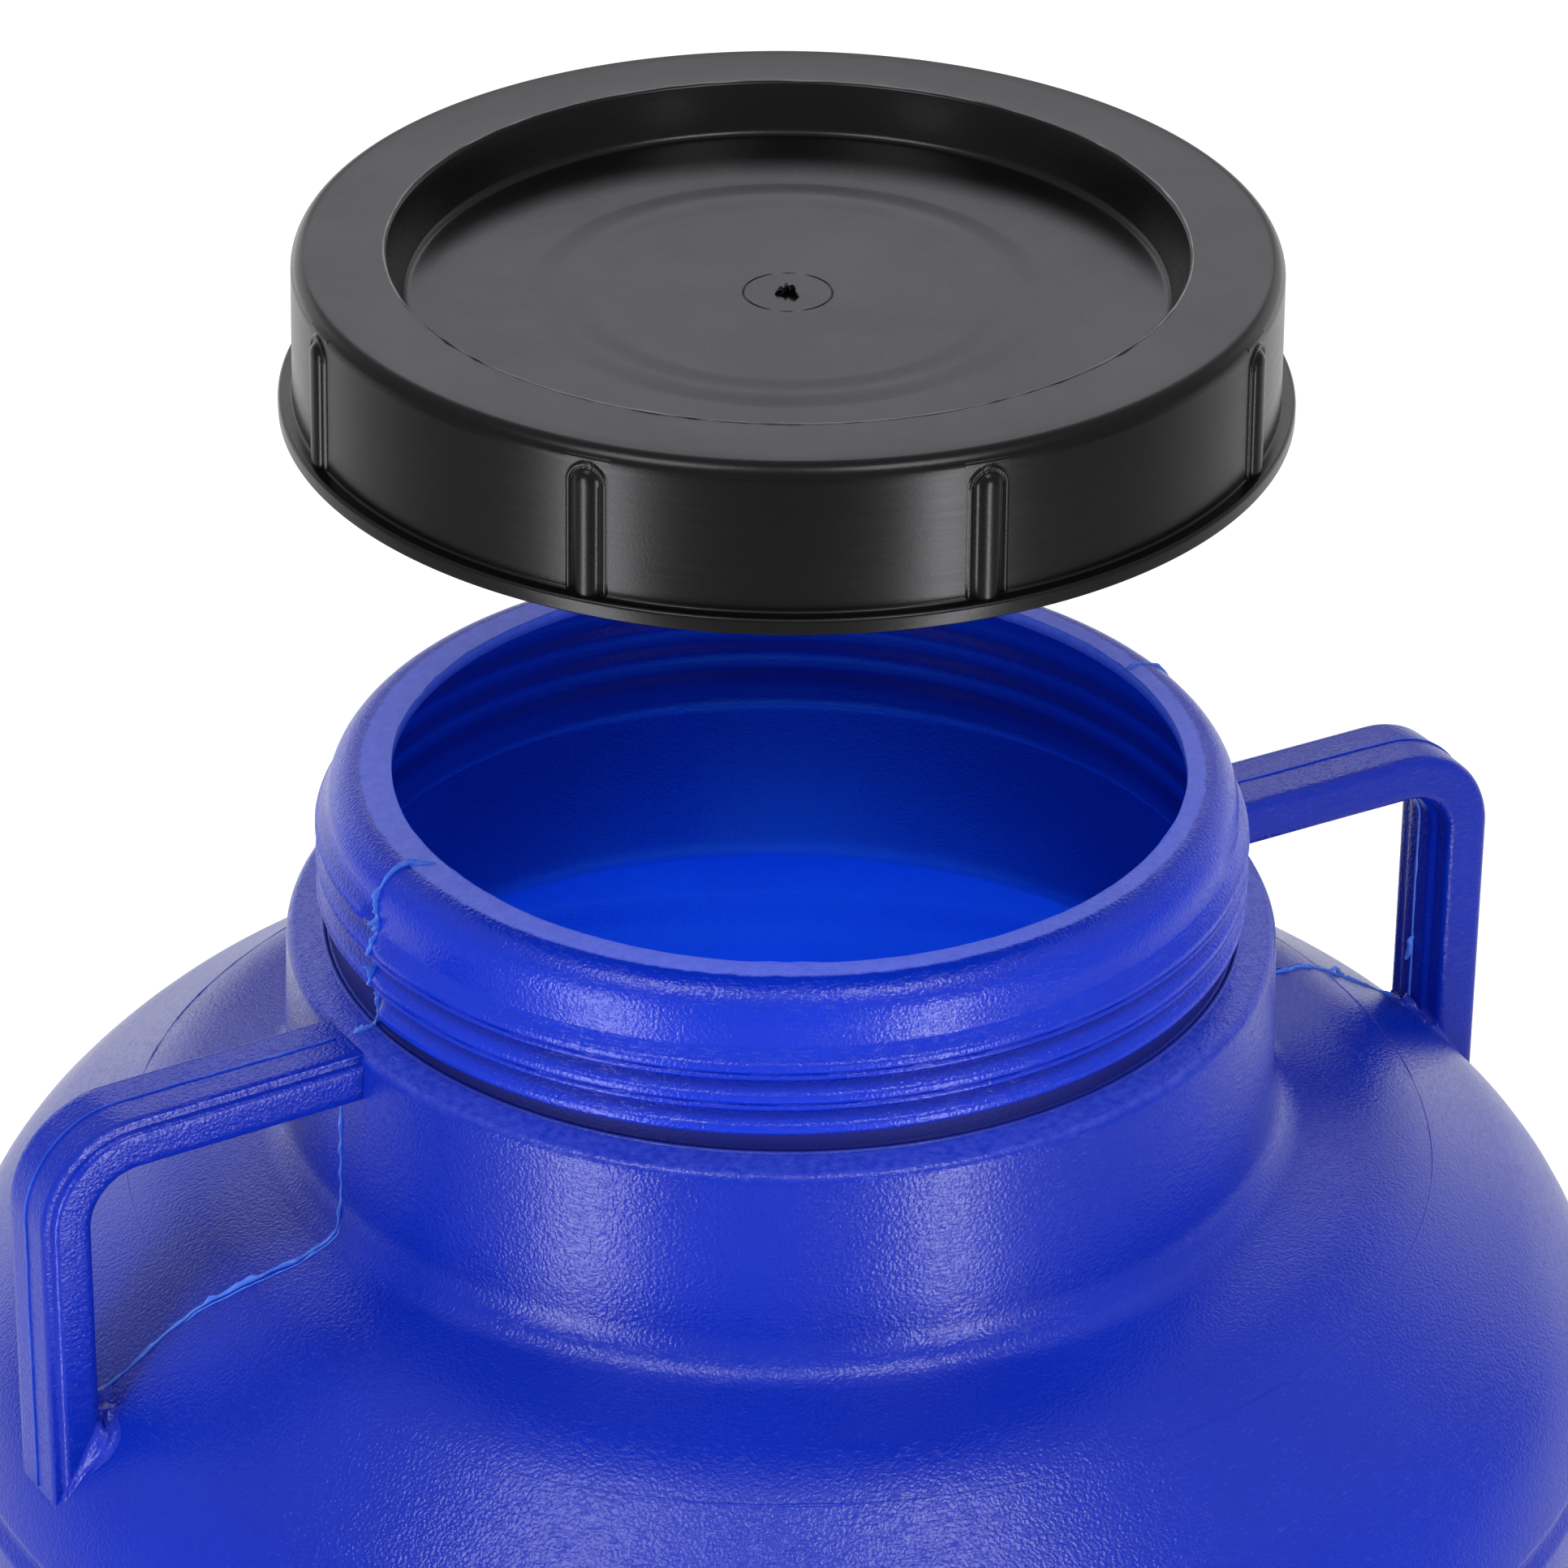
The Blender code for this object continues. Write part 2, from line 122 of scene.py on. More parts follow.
# How far the mould's seam wanders sideways in the handles' openings, by radius
SEAM_DRIFT = {
    "left": (
        (0.1190, 0), (0.1207, 0.0010), (0.124, 0.0042), (0.128, 0.0049), (0.136, 0.0063),
        (0.145, 0.0053), (0.153, 0.0037), (0.160, 0.0014), (0.1665, 0.0002), (0.183, -0.0007),
    ),
    "right": (
        (0.1190, 0), (0.1207, -0.0010), (0.124, -0.0035), (0.136, -0.0060), (0.146, -0.0053),
        (0.153, -0.0021), (0.168, 0.0023), (0.181, 0.0038), (0.185, 0.0038),
    ),
}

# Lid sizes
LID_Z = 0.7024
LID_HEIGHT = 0.0392
LID_BORE = 0.1125
LID_RADIUS = 0.1142
SKIRT_RADIUS = 0.1146
FLANGE_RADIUS = 0.1179
FLANGE_HEIGHT = 0.0040
RIM_INNER = 0.0923
RECESS_FLOOR = 0.0270
RECESS_FOOT = 0.0885
LID_THREAD_RISE = 0.0065
LID_THREAD_TURNS = 1.6
LID_THREAD_HEIGHT = 0.0016  # lower than the solid's, for the neck's wider ridges
LID_THREAD_ACROSS = (-0.0020, -0.0008, 0.0008, 0.0020)
DISC_SKIN = 0.0022
CEILING_SKIN = 0.0028
RING_INNER = 0.0951
RING_OUTER = 0.1089
RING_HEIGHT = 0.0026

# Grip ribs: a bar on an arched pad, with heights from the lid's lower edge
RIB_COUNT = 8
RIB_START = math.radians(37.3)
RIB_HALF, RIB_FOOT, RIB_TOP = 0.0060, 0.0030, 0.0372
PAD_HALF, PAD_TOP, PAD_RISE = 0.0047, 0.0356, 0.0006
BAR_HALF, BAR_TOP, BAR_RISE = 0.0032, 0.0342, 0.0019
RIB_GROOVE = 0.0003

# Handle sizes
HANDLE_REACH = 0.2015
HANDLE_TOP_Z = -0.0418
HANDLE_FALL = 0.0006
HANDLE_BEND = 0.025
HANDLE_THICKNESS = 0.012
HANDLE_HALF = 0.0110
HANDLE_SINK = 0.0012
NUB_DEPTH = 0.0138
NUB_ROWS = 12

# Half of the grip bar's section in mm, (y, depth): its outer face, then its sides and back
PLAIN_FACE = ((0, 0), (4.5, 0.0), (9.3, 0.15), (10.4, 0.6), (10.9, 1.5), (11, 3.0))
STEPPED_FACE = (
    (0, 0), (4.5, 0.0), (8.4, 0.05), (9.0, 0.35), (9.2, 1.0), (9.0, 1.8), (9.2, 2.2),
    (9.8, 2.3), (10.5, 2.55), (10.9, 3.0), (11, 3.7),
)
GRIP_BACK = (
    (11, 6.5), (10.95, 9.8), (10.75, 10.9), (10.2, 11.7), (9.2, 12.0), (6.2, 12.0),
    (5.6, 12.25), (5.0, 13.0), (4.4, 13.3), (0, 13.4),
)
BACK_DEPTH = 0.0134

# Colours: the blues are pairs of a deep and a pale shade
SHELL_BLUES = (0.0005, 0.0150, 0.355, 1), (0.0015, 0.0222, 0.42, 1)
# Painted light: the neck is painted brighter than the body, standing in for the light the lid above
# blocks
NECK_PAINTED_LIGHT_BLUES = (0.0008, 0.0210, 0.47, 1), (0.0020, 0.0300, 0.55, 1)
FLASH_BLUES = (0.018, 0.11, 0.68, 1), (0.13, 0.29, 0.88, 1)
SEAM_BLUES = (0.004, 0.040, 0.52, 1), (0.030, 0.10, 0.66, 1)
# Partly painted light: the knife burr's real pale cut, brightened further to make up for the lid's
# shadow
BURR_AND_PAINTED_LIGHT_BLUES = (0.070, 0.11, 0.72, 1), (0.115, 0.17, 0.86, 1)
SKIN_BLUES = (0.003, 0.016, 0.37, 1), (0.020, 0.040, 0.47, 1)
# Painted light: the ledge is painted paler, standing in for the reflection the lid above blocks
LEDGE_PAINTED_LIGHT_BLUE = (0.050, 0.078, 0.58, 1)
# Painted shade: the valleys between the thread's ridges are painted darker, as the shade that falls
# there
VALLEY_SHADE_BLUE = (0.0003, 0.0110, 0.28, 1)
# Painted shadow: the channel under the lowest ridge is painted near black, as the shadow the ridge
# casts
CHANNEL_SHADE_BLUE = (0.0001, 0.0050, 0.17, 1)
# Partly painted light: the lip's real pale cut, brightened further to make up for the lid's shadow
CUT_AND_PAINTED_LIGHT_BLUE = (0.125, 0.180, 0.90, 1)
LID_BLACKS = (0.0010, 0.0009, 0.0010, 1), (0.0020, 0.0019, 0.0020, 1)
# Painted highlight: the lid's burr ring is pale grey to show the sharp edge's highlight
LID_BURR_HIGHLIGHT_GREYS = (0.10, 0.10, 0.105, 1), (0.20, 0.20, 0.21, 1)
RUBBER_GREYS = (0.024, 0.024, 0.026, 1), (0.045, 0.044, 0.044, 1)
INNER_LIGHT = (0.2, 1.0, 0.95)

# Where the neck's painted light and shade and its cut lip fade in, as (none, full): heights from
# the lip
NECK_FADE = (-0.0425, -0.0405)
CUT_LOW_FADE = (-0.004, -0.0008)
LEDGE_TOP_FADE = (-0.0398, -0.0405)
LEDGE_LOW_FADE = (-0.046, -0.0435)
OVER_LEDGE_FADE = (-0.0412, -0.0407)
# Radii
CUT_FADE = (0.1012, 0.1003)
LEDGE_INNER_FADE = (0.1104, 0.1112)
LEDGE_OUTER_FADE = (0.1192, 0.1176)
CHANNEL_FADE = (0.1118, 0.1108)
VALLEY_FADE = (0.1110, 0.1096)
# Heights over the thread's lower edge
CHANNEL_TOP_FADE = (0.0008, 0.0003)
VALLEY_TOP_FADE = (0.0205, 0.0195)

# The camera's side in degrees round Z from +X, and the same direction as an azimuth
CAMERA_SIDE = 239.6
CAMERA_AZIMUTH = math.radians(-30.4)
CAMERA_ELEVATION = math.radians(29.0)
CAMERA_DISTANCE = 1.75
CAMERA_LENS = 168.4
CAMERA_ROLL = math.radians(0.6)
AIM_DOWN, AIM_RIGHT = 0.0056, 0.0003

# How white the floor and the world look to rays that mirror them, and how bright they shine
FLOOR_MIRRORED = (-0.1, 1.0, 0.18, 0.80)
FLOOR_GLOW = (1.0, 3.5, 0.72, 0.88)
WORLD_MIRRORED = 0.22
WORLD_LIGHT = 0.28

# Name, angle from the camera's side, distance, height, height aimed at, size, power, colour
SOFTBOXES = (
    ("left_key", -46, 0.95, 2.45, 0.55, (0.7, 0.7), 12, (1, 1, 1)),
    ("right_key", 40, 0.95, 2.45, 0.55, (0.6, 0.7), 12, (1, 1, 1)),
    ("back", 180, 2.7, 2.2, 0.7, (2.2, 0.7), 8.0, (1, 0.975, 1.07)),
    ("left_rim", -143, 2.2, 0.95, 0.5, (1.3, 1.5), 6, (1, 1, 1)),
    ("right_rim", 140, 2.2, 0.95, 0.5, (1.3, 1.5), 4.5, (1, 1, 1)),
    ("left", -41, 0.85, 0.41, 0.5, (0.22, 0.8), 4.8, (1, 1, 1)),
    ("right", 35, 0.85, 0.41, 0.5, (0.14, 0.8), 4.4, (1, 1, 1)),
    ("left_side", -108, 1.8, 2.0, 0.55, (1.0, 1.0), 6, (1, 1, 1)),
    ("right_side", 100, 1.8, 2.0, 0.55, (1.0, 1.0), 10, (1, 1, 1)),
)


def rounded(corners):
    """Points of an open outline of (x, z, radius) corners, with each corner rounded."""
    points = []
    for i, (x, z, radius) in enumerate(corners):
        here = Vector((x, z))
        if radius == 0 or i in (0, len(corners) - 1):
            points.append(here)
            continue
        before = (Vector(corners[i - 1][:2]) - here).normalized()
        after = (Vector(corners[i + 1][:2]) - here).normalized()
        turn = math.pi - before.angle(after)
        if turn < math.radians(1.0):
            points.append(here)
            continue
        reach = radius * math.tan(turn / 2)
        centre = here + (before + after).normalized() * radius / math.cos(turn / 2)
        first = here + before * reach - centre
        steps = max(2, math.ceil(math.degrees(turn) / CORNER_STEP_DEG))
        way = 1 if first.cross(here + after * reach - centre) > 0 else -1
        for step in range(steps + 1):
            angle = way * turn * step / steps
            cos, sin = math.cos(angle), math.sin(angle)
            offset = Vector((first.x * cos - first.y * sin, first.x * sin + first.y * cos))
            points.append(centre + offset)
    return np.array([tuple(p) for p in points])


def divided(points, coarse, fine=None, low=0.0, high=0.0):
    """The outline with long steps cut up: to the fine step between two heights."""
    made = [points[0]]
    for start, end in zip(points[:-1], points[1:]):
        middle = (start[1] + end[1]) / 2
        step = fine if fine and low < middle < high else coarse
        count = max(1, math.ceil(np.linalg.norm(end - start) / step))
        for k in range(1, count + 1):
            made.append(start + (end - start) * k / count)
    return np.array(made)


def smooth(low, high, value):
    share = np.clip((value - low) / (high - low), 0, 1)
    return share * share * (3 - 2 * share)


def wander(rng, count, spread, span):
    """A smooth random line of that many values: span is how many values one swing takes."""
    reach = int(3 * span)
    raw = rng.normal(0, 1, count + 2 * reach)
    kernel = np.exp(-0.5 * (np.arange(-reach, reach + 1) / span) ** 2)
    kernel /= math.sqrt((kernel**2).sum())
    return spread * np.convolve(raw, kernel, "valid")[:count]


def new_object(name, points, faces, material, sharp_deg=35.0):
    mesh = bpy.data.meshes.new(name)
    mesh.from_pydata(np.asarray(points).tolist(), [], faces)
    mesh.polygons.foreach_set("use_smooth", [True] * len(mesh.polygons))
    mesh.set_sharp_from_angle(angle=math.radians(sharp_deg))
    mesh.materials.append(material)
    mesh.update()
    obj = bpy.data.objects.new(name, mesh)
    bpy.context.scene.collection.objects.link(obj)
    return obj


def wound_out(points, faces):
    """The faces, turned round where they would make a closed mesh inside out."""
    points = np.asarray(points)
    volume = 0.0
    for face in faces:
        for k in range(1, len(face) - 1):
            a, b, c = points[face[0]], points[face[k]], points[face[k + 1]]
            volume += a @ np.cross(b, c)
    return faces if volume > 0 else [tuple(reversed(face)) for face in faces]


def grid_faces(rows, columns, closed_columns=True, offset=0):
    """Quads over a grid of points that is stored row by row."""
    i, j = np.meshgrid(
        np.arange(rows - 1), np.arange(columns if closed_columns else columns - 1), indexing="ij"
    )
    k = (j + 1) % columns
    here, above = i * columns, (i + 1) * columns
    quads = np.stack([here + j, here + k, above + k, above + j], -1)
    return (quads.reshape(-1, 4) + offset).tolist()


def swept_points(outline, columns, change=None):
    """The outline's points at each angle round Z, row by row."""
    angle = np.arange(columns) * math.tau / columns
    r = np.repeat(outline[:, :1], columns, 1)
    z = np.repeat(outline[:, 1:], columns, 1)
    a = np.repeat(angle[None], len(outline), 0)
    if change:
        r, z = change(r, z, a)
    return np.stack([r * np.cos(a), r * np.sin(a), z], -1).reshape(-1, 3)


def spun(name, outline, columns, material, change, sharp_deg):
    """An outline from the axis back to the axis, spun round Z. change(r, z, angle) moves points."""
    inner = outline[1:-1]
    points = swept_points(inner, columns, change)
    count = len(points)
    ends = [(0, 0, outline[0][1]), (0, 0, outline[-1][1])]
    faces = grid_faces(len(inner), columns)
    last = (len(inner) - 1) * columns
    for j in range(columns):
        k = (j + 1) % columns
        faces.append((k, j, count))
        faces.append((last + j, last + k, count + 1))
    points = np.concatenate([points, ends])
    quads = np.array(faces[: (len(inner) - 1) * columns])
    a, b, c, d = points[quads].transpose(1, 0, 2)
    volume = (a * np.cross(b, c)).sum() + (a * np.cross(c, d)).sum()
    if volume < 0:
        faces = [tuple(reversed(face)) for face in faces]
    return new_object(name, points, faces, material, sharp_deg)


def looped(name, outline, columns, material):
    """A closed outline that doesn't touch the axis, spun round Z."""
    points = swept_points(outline, columns)
    faces = grid_faces(len(outline), columns)
    last = (len(outline) - 1) * columns
    for j in range(columns):
        k = (j + 1) % columns
        faces.append((last + j, last + k, k, j))
    return new_object(name, points, wound_out(points, faces), material)


def tube(name, rings, material, sharp_deg=50.0):
    """Rings of points joined into one closed tube with flat ends."""
    rows, columns = rings.shape[:2]
    points = rings.reshape(-1, 3)
    faces = [tuple(face) for face in grid_faces(rows, columns)]
    faces.append(tuple(reversed(range(columns))))
    faces.append(tuple(range((rows - 1) * columns, rows * columns)))
    return new_object(name, points, wound_out(points, faces), material, sharp_deg)


def slab(name, front, back, material):
    """Two grids of points, front and back, closed round their edges."""
    rows, columns = front.shape[:2]
    points = np.concatenate([front.reshape(-1, 3), back.reshape(-1, 3)])
    count = rows * columns
    faces = [tuple(face) for face in grid_faces(rows, columns, False)]
    faces += [tuple(reversed(face)) for face in grid_faces(rows, columns, False, count)]
    edge = list(range(columns))
    edge += [i * columns + columns - 1 for i in range(1, rows)]
    edge += [(rows - 1) * columns + j for j in range(columns - 2, -1, -1)]
    edge += [i * columns for i in range(rows - 2, 0, -1)]
    for a, b in zip(edge, edge[1:] + edge[:1]):
        faces.append((b, a, a + count, b + count))
    return new_object(name, points, wound_out(points, faces), material)


def full_turn(count):
    """The angles once round the axis, with the first again at the end."""
    return np.arange(count + 1) * math.tau / count


def circle(radius, angle, height):
    """Points round the axis at the given angles."""
    return np.stack([radius * np.cos(angle), radius * np.sin(angle), height + 0 * angle], 1)


def ribbon(name, path, normals, width, height, material, rng, line, ring=False):
    """A bead of flash along a path, wavering sideways by the line, in width and in height."""
    count = len(path)
    sides = 8
    tangent = np.gradient(path, axis=0)
    tangent /= np.linalg.norm(tangent, axis=1)[:, None]
    side = np.cross(tangent, normals)
    side /= np.linalg.norm(side, axis=1)[:, None]
    wide = np.broadcast_to(width, count) * np.exp(wander(rng, count, 0.30, 3))
    tall = np.broadcast_to(height, count) * np.exp(wander(rng, count, 0.42, 2))
    centre = path + side * wander(rng, count, line, 9)[:, None]
    taper = np.minimum(1, 0.15 + np.minimum(np.arange(count), np.arange(count)[::-1]) / 4)
    if ring:
        taper = np.ones(count)
    rings = []
    for k in range(sides + 1):
        turn = math.pi * k / sides
        rings.append(
            centre
            + side * (wide * taper / 2 * math.cos(turn))[:, None]
            + normals * (tall * taper * math.sin(turn))[:, None]
        )
    for end in (-0.35, 0.35):
        rings.append(centre + side * (wide * end)[:, None] - normals * 0.0004)
    rings = np.stack(rings, 1)
    if not ring:
        return tube(name, rings, material)
    joined = 12
    blend = np.linspace(0, 1, joined)[:, None, None]
    rings[-joined:] = rings[-joined:] * (1 - blend) + rings[:1] * blend
    rings = rings[:-1]
    rows, columns = rings.shape[:2]
    index = np.arange(rows * columns).reshape(rows, columns)
    faces = []
    for i in range(rows):
        for j in range(columns):
            k, m = (i + 1) % rows, (j + 1) % columns
            faces.append((index[i, j], index[i, m], index[k, m], index[k, j]))
    faces = [tuple(int(v) for v in face) for face in faces]
    points = rings.reshape(-1, 3)
    return new_object(name, points, wound_out(points, faces), material, 50.0)


# --- Materials ---------------------------------------------------------------


def set_input(tree, node, key, value):
    """Links a socket to a node's input, or sets the input to a number or a colour."""
    if isinstance(value, bpy.types.NodeSocket):
        tree.links.new(value, node.inputs[key])
    else:
        node.inputs[key].default_value = value


def math_node(tree, operation, a, b):
    node = tree.nodes.new("ShaderNodeMath")
    node.operation = operation
    set_input(tree, node, 0, a)
    set_input(tree, node, 1, b)
    return node.outputs[0]


def map_range(tree, value, low, high, low_out=0.0, high_out=1.0):
    """The value's place between low and high, as one between the two outs."""
    node = tree.nodes.new("ShaderNodeMapRange")
    for key, setting in enumerate((value, low, high, low_out, high_out)):
        set_input(tree, node, key, setting)
    return node.outputs[0]


class Nodes:
    """Small helper that adds and links shader nodes."""

    def __init__(self, name):
        self.material = bpy.data.materials.new(name)
        self.material.use_nodes = True
        self.tree = self.material.node_tree
        self.shader = self.tree.nodes["Principled BSDF"]
        place = self.tree.nodes.new("ShaderNodeTexCoord")
        self.place = place.outputs["Object"]

    def add(self, kind, **inputs):
        node = self.tree.nodes.new(kind)
        for key, value in inputs.items():
            set_input(self.tree, node, key.replace("_", " "), value)
        return node

    def mapped(self, scale):
        return self.add("ShaderNodeMapping", Vector=self.place, Scale=scale).outputs["Vector"]

    def noise(self, scale, detail=2.0, stretch=(1, 1, 1), rough=0.5):
        place = self.mapped(stretch)
        node = self.add(
            "ShaderNodeTexNoise", Vector=place, Scale=scale, Detail=detail, Roughness=rough
        )
        return node.outputs["Fac"]

    def ramp(self, value, low, high, low_out=0.0, high_out=1.0):
        return map_range(self.tree, value, low, high, low_out, high_out)

    def math(self, operation, a, b=0.0):
        return math_node(self.tree, operation, a, b)

    def product(self, first, *others):
        for other in others:
            first = self.math("MULTIPLY", first, other)
        return first

    def mix(self, share, first, second):
        node = self.tree.nodes.new("ShaderNodeMix")
        node.data_type = "RGBA"
        for index, value in ((0, share), (6, first), (7, second)):
            set_input(self.tree, node, index, value)
        return node.outputs[2]

    def bump(self, height, distance, strength=1.0, under=None):
        node = self.add("ShaderNodeBump", Strength=strength, Distance=distance, Height=height)
        if under:
            self.tree.links.new(under, node.inputs["Normal"])
        return node.outputs["Normal"]

    def from_axis(self):
        """The distance from the axis, the height, and the height over the thread's lower edge."""
        flat = self.tree.nodes.new("ShaderNodeVectorMath")
        flat.operation = "LENGTH"
        self.tree.links.new(self.mapped((1, 1, 0)), flat.inputs[0])
        parts = self.add("ShaderNodeSeparateXYZ", Vector=self.place)
        angle = self.math("ARCTAN2", parts.outputs["Y"], parts.outputs["X"])
        swept = self.math("DIVIDE", self.math("SUBTRACT", angle, THREAD_START), math.tau)
        swept = self.math("FRACT", swept)
        height = parts.outputs["Z"]
        over = self.math("SUBTRACT", height, self.math("MULTIPLY", swept, PITCH))
        over = self.math("SUBTRACT", over, HEIGHT + THREAD_EDGE_Z)
        return flat.outputs["Value"], height, over

    def finish(self, **inputs):
        for key, value in inputs.items():
            set_input(self.tree, self.shader, key.replace("_", " "), value)
        return self.material


def paint_neck_light_and_shade(n, colour, rough, mottled, grain):
    """Adds the neck's painted light and shade: a brighter neck, shaded thread valleys and channel,
    a lit ledge, and the paler cut lip, partly brightened as painted light.
    """
    radius, height, over = n.from_axis()

    def at_height(low, high):
        return n.ramp(height, HEIGHT + low, HEIGHT + high)

    # Painted light: a brighter blue over the whole neck
    colour = n.mix(at_height(*NECK_FADE), colour, n.mix(mottled, *NECK_PAINTED_LIGHT_BLUES))
    ragged = n.ramp(n.noise(180.0, 5.0, rough=0.75), 0.3, 0.7, -0.0004, 0.0004)
    ragged = n.math("ADD", radius, ragged)
    over_ledge = at_height(*OVER_LEDGE_FADE)
    # The cut lip: paler cut plastic, partly brightened as painted light
    cut = n.product(n.ramp(ragged, *CUT_FADE), at_height(*CUT_LOW_FADE))
    # Painted light: the ledge's paler patches, broken up by the grain
    ledge = n.product(
        n.ramp(ragged, *LEDGE_INNER_FADE),
        n.ramp(ragged, *LEDGE_OUTER_FADE),
        at_height(*LEDGE_TOP_FADE),
        at_height(*LEDGE_LOW_FADE),
        n.ramp(grain, 0.35, 0.65, 0.3, 0.8),
    )
    # Painted shadow: the channel under the lowest ridge
    channel = n.product(
        n.ramp(over, *CHANNEL_TOP_FADE), n.ramp(radius, *CHANNEL_FADE), over_ledge
    )
    # Painted shade: the valleys between the thread's ridges
    valley = n.product(
        n.ramp(radius, *VALLEY_FADE), n.ramp(over, *VALLEY_TOP_FADE, 0.0, 0.6), over_ledge
    )
    colour = n.mix(ledge, colour, LEDGE_PAINTED_LIGHT_BLUE)
    colour = n.mix(valley, colour, VALLEY_SHADE_BLUE)
    colour = n.mix(channel, colour, CHANNEL_SHADE_BLUE)
    colour = n.mix(n.product(cut, n.ramp(grain, 0.3, 0.7, 0.7, 1.0)), colour, CUT_AND_PAINTED_LIGHT_BLUE)
    rough = n.math("ADD", rough, n.math("MULTIPLY", cut, 0.2))
    rough = n.math("ADD", rough, n.math("MULTIPLY", channel, 0.4))
    return colour, rough


def blue_plastic(name, blues, roughness, gloss=0.38, painted_neck_light=False):
    """The barrel's polyethylene, mottled and faintly scratched; the neck flag adds the neck's
    painted light and shade and its cut lip.
    """
    n = Nodes(name)
    cloud = n.noise(14.0, 3.0)
    grain = n.noise(420.0, 3.0, rough=0.6)
    peel = n.noise(1150.0, 1.0, rough=0.5)
    swell = n.noise(60.0, 2.0)
    scratch = n.noise(5.0, 4.0, stretch=(60, 60, 700), rough=0.75)
    clouded = n.ramp(cloud, 0.3, 0.7, 0.0, 0.7)
    mottled = n.math("ADD", clouded, n.ramp(grain, 0.35, 0.75, 0.0, 0.3))
    colour = n.mix(mottled, *blues)
    marks = n.ramp(scratch, 0.56, 0.72)
    rough = n.ramp(cloud, 0.25, 0.75, roughness - 0.04, roughness + 0.05)
    rough = n.math("ADD", rough, n.math("MULTIPLY", marks, 0.10))
    if painted_neck_light:
        colour, rough = paint_neck_light_and_shade(n, colour, rough, mottled, grain)
    normal = n.bump(swell, 0.0005, 0.2)
    normal = n.bump(peel, 0.00017, 1.0, normal)
    normal = n.bump(marks, 0.00012, 0.35, normal)
    return n.finish(
        Base_Color=colour,
        Roughness=rough,
        Normal=normal,
        Specular_IOR_Level=gloss,
    )


def black_plastic(name, blacks):
    """The lid's polypropylene: satin, with fine level streaks."""
    n = Nodes(name)
    streak = n.noise(6.0, 5.0, stretch=(7, 7, 160), rough=0.65)
    cloud = n.noise(22.0, 3.0)
    grain = n.noise(1500.0, 2.0)
    colour = n.mix(n.ramp(cloud, 0.3, 0.7), *blacks)
    rough = n.ramp(streak, 0.3, 0.72, 0.25, 0.29)
    rough = n.math("ADD", rough, n.ramp(cloud, 0.3, 0.7, -0.01, 0.01))
    normal = n.bump(streak, 0.0003, 0.07)
    normal = n.bump(grain, 0.00005, 0.35, normal)
    return n.finish(
        Base_Color=colour,
        Roughness=rough,
        Normal=normal,
        Specular_IOR_Level=0.28,
        Specular_Tint=(0.97, 0.955, 1.0, 1),
    )


def rubber_material(name):
    n = Nodes(name)
    grain = n.noise(900.0, 3.0)
    dust = n.noise(35.0, 4.0)
    colour = n.mix(n.ramp(dust, 0.35, 0.7), *RUBBER_GREYS)
    rough = n.ramp(dust, 0.3, 0.7, 0.68, 0.86)
    normal = n.bump(grain, 0.00012, 0.5)
    return n.finish(Base_Color=colour, Roughness=rough, Normal=normal, Specular_IOR_Level=0.35)


def white_where_seen(tree, mirrored):
    """One for camera and transmission rays, and the mirrored share for glossy rays."""
    ray = tree.nodes.new("ShaderNodeLightPath").outputs
    dimmed = math_node(tree, "MULTIPLY", ray["Is Glossy Ray"], mirrored)
    either = math_node(tree, "MAXIMUM", ray["Is Camera Ray"], dimmed)
    return math_node(tree, "MAXIMUM", either, ray["Is Transmission Ray"])


# --- Barrel ------------------------------------------------------------------


def shoulder_corners(inset):
    width = BODY_RADIUS - COLLAR_FOOT_RADIUS
    return [
        (
            COLLAR_FOOT_RADIUS + (width - inset) * across,
            COLLAR_FOOT_Z - SHOULDER_DEPTH * down - inset,
            0.050,
        )
        for across, down in SHOULDER_SHARES
    ]


def body_grooves(inset):
    """The bead groove under the shoulder and the two rings round the body."""
    radius = BODY_RADIUS - inset
    corners = []
    grooves = [(SHOULDER_FOOT_Z, 0.0026, 0.009, 0.0035, 0.0026)]
    for share in (0.70, 0.27):
        grooves.append(((HEIGHT + SHOULDER_FOOT_Z) * share - HEIGHT, 0.004, 0.022, 0.012, 0.008))
    for height, depth, width, edge, bottom in grooves:
        if inset:
            depth, width, edge, bottom = depth * 0.6, width * 1.6, 0.012, 0.012
        corners.append((radius, height + width / 2, edge))
        corners.append((radius - depth, height, bottom))
        corners.append((radius, height - width / 2, edge))
    return corners


def outside_corners():
    return [
        (MOUTH_RADIUS, 0, 0),
        (NECK_RADIUS, 0, 0.009),
        (NECK_RADIUS, -0.0409, 0.0006),
        (0.1097, -0.0411, 0.0003),
        (0.1103, -0.0406, 0.0004),
        (0.1109, -0.0412, 0.0004),
        (COLLAR_RADIUS, LEDGE_Z - 0.0013, 0.0026),
        (COLLAR_FOOT_RADIUS, COLLAR_FOOT_Z, 0.010),
        *shoulder_corners(0),
        *body_grooves(0),
        (BODY_RADIUS, -HEIGHT, 0.028),
        (0.168, -HEIGHT, 0.004),
        (0.156, BASE_RISE - HEIGHT, 0.004),
        (0, BASE_RISE - HEIGHT, 0),
    ]


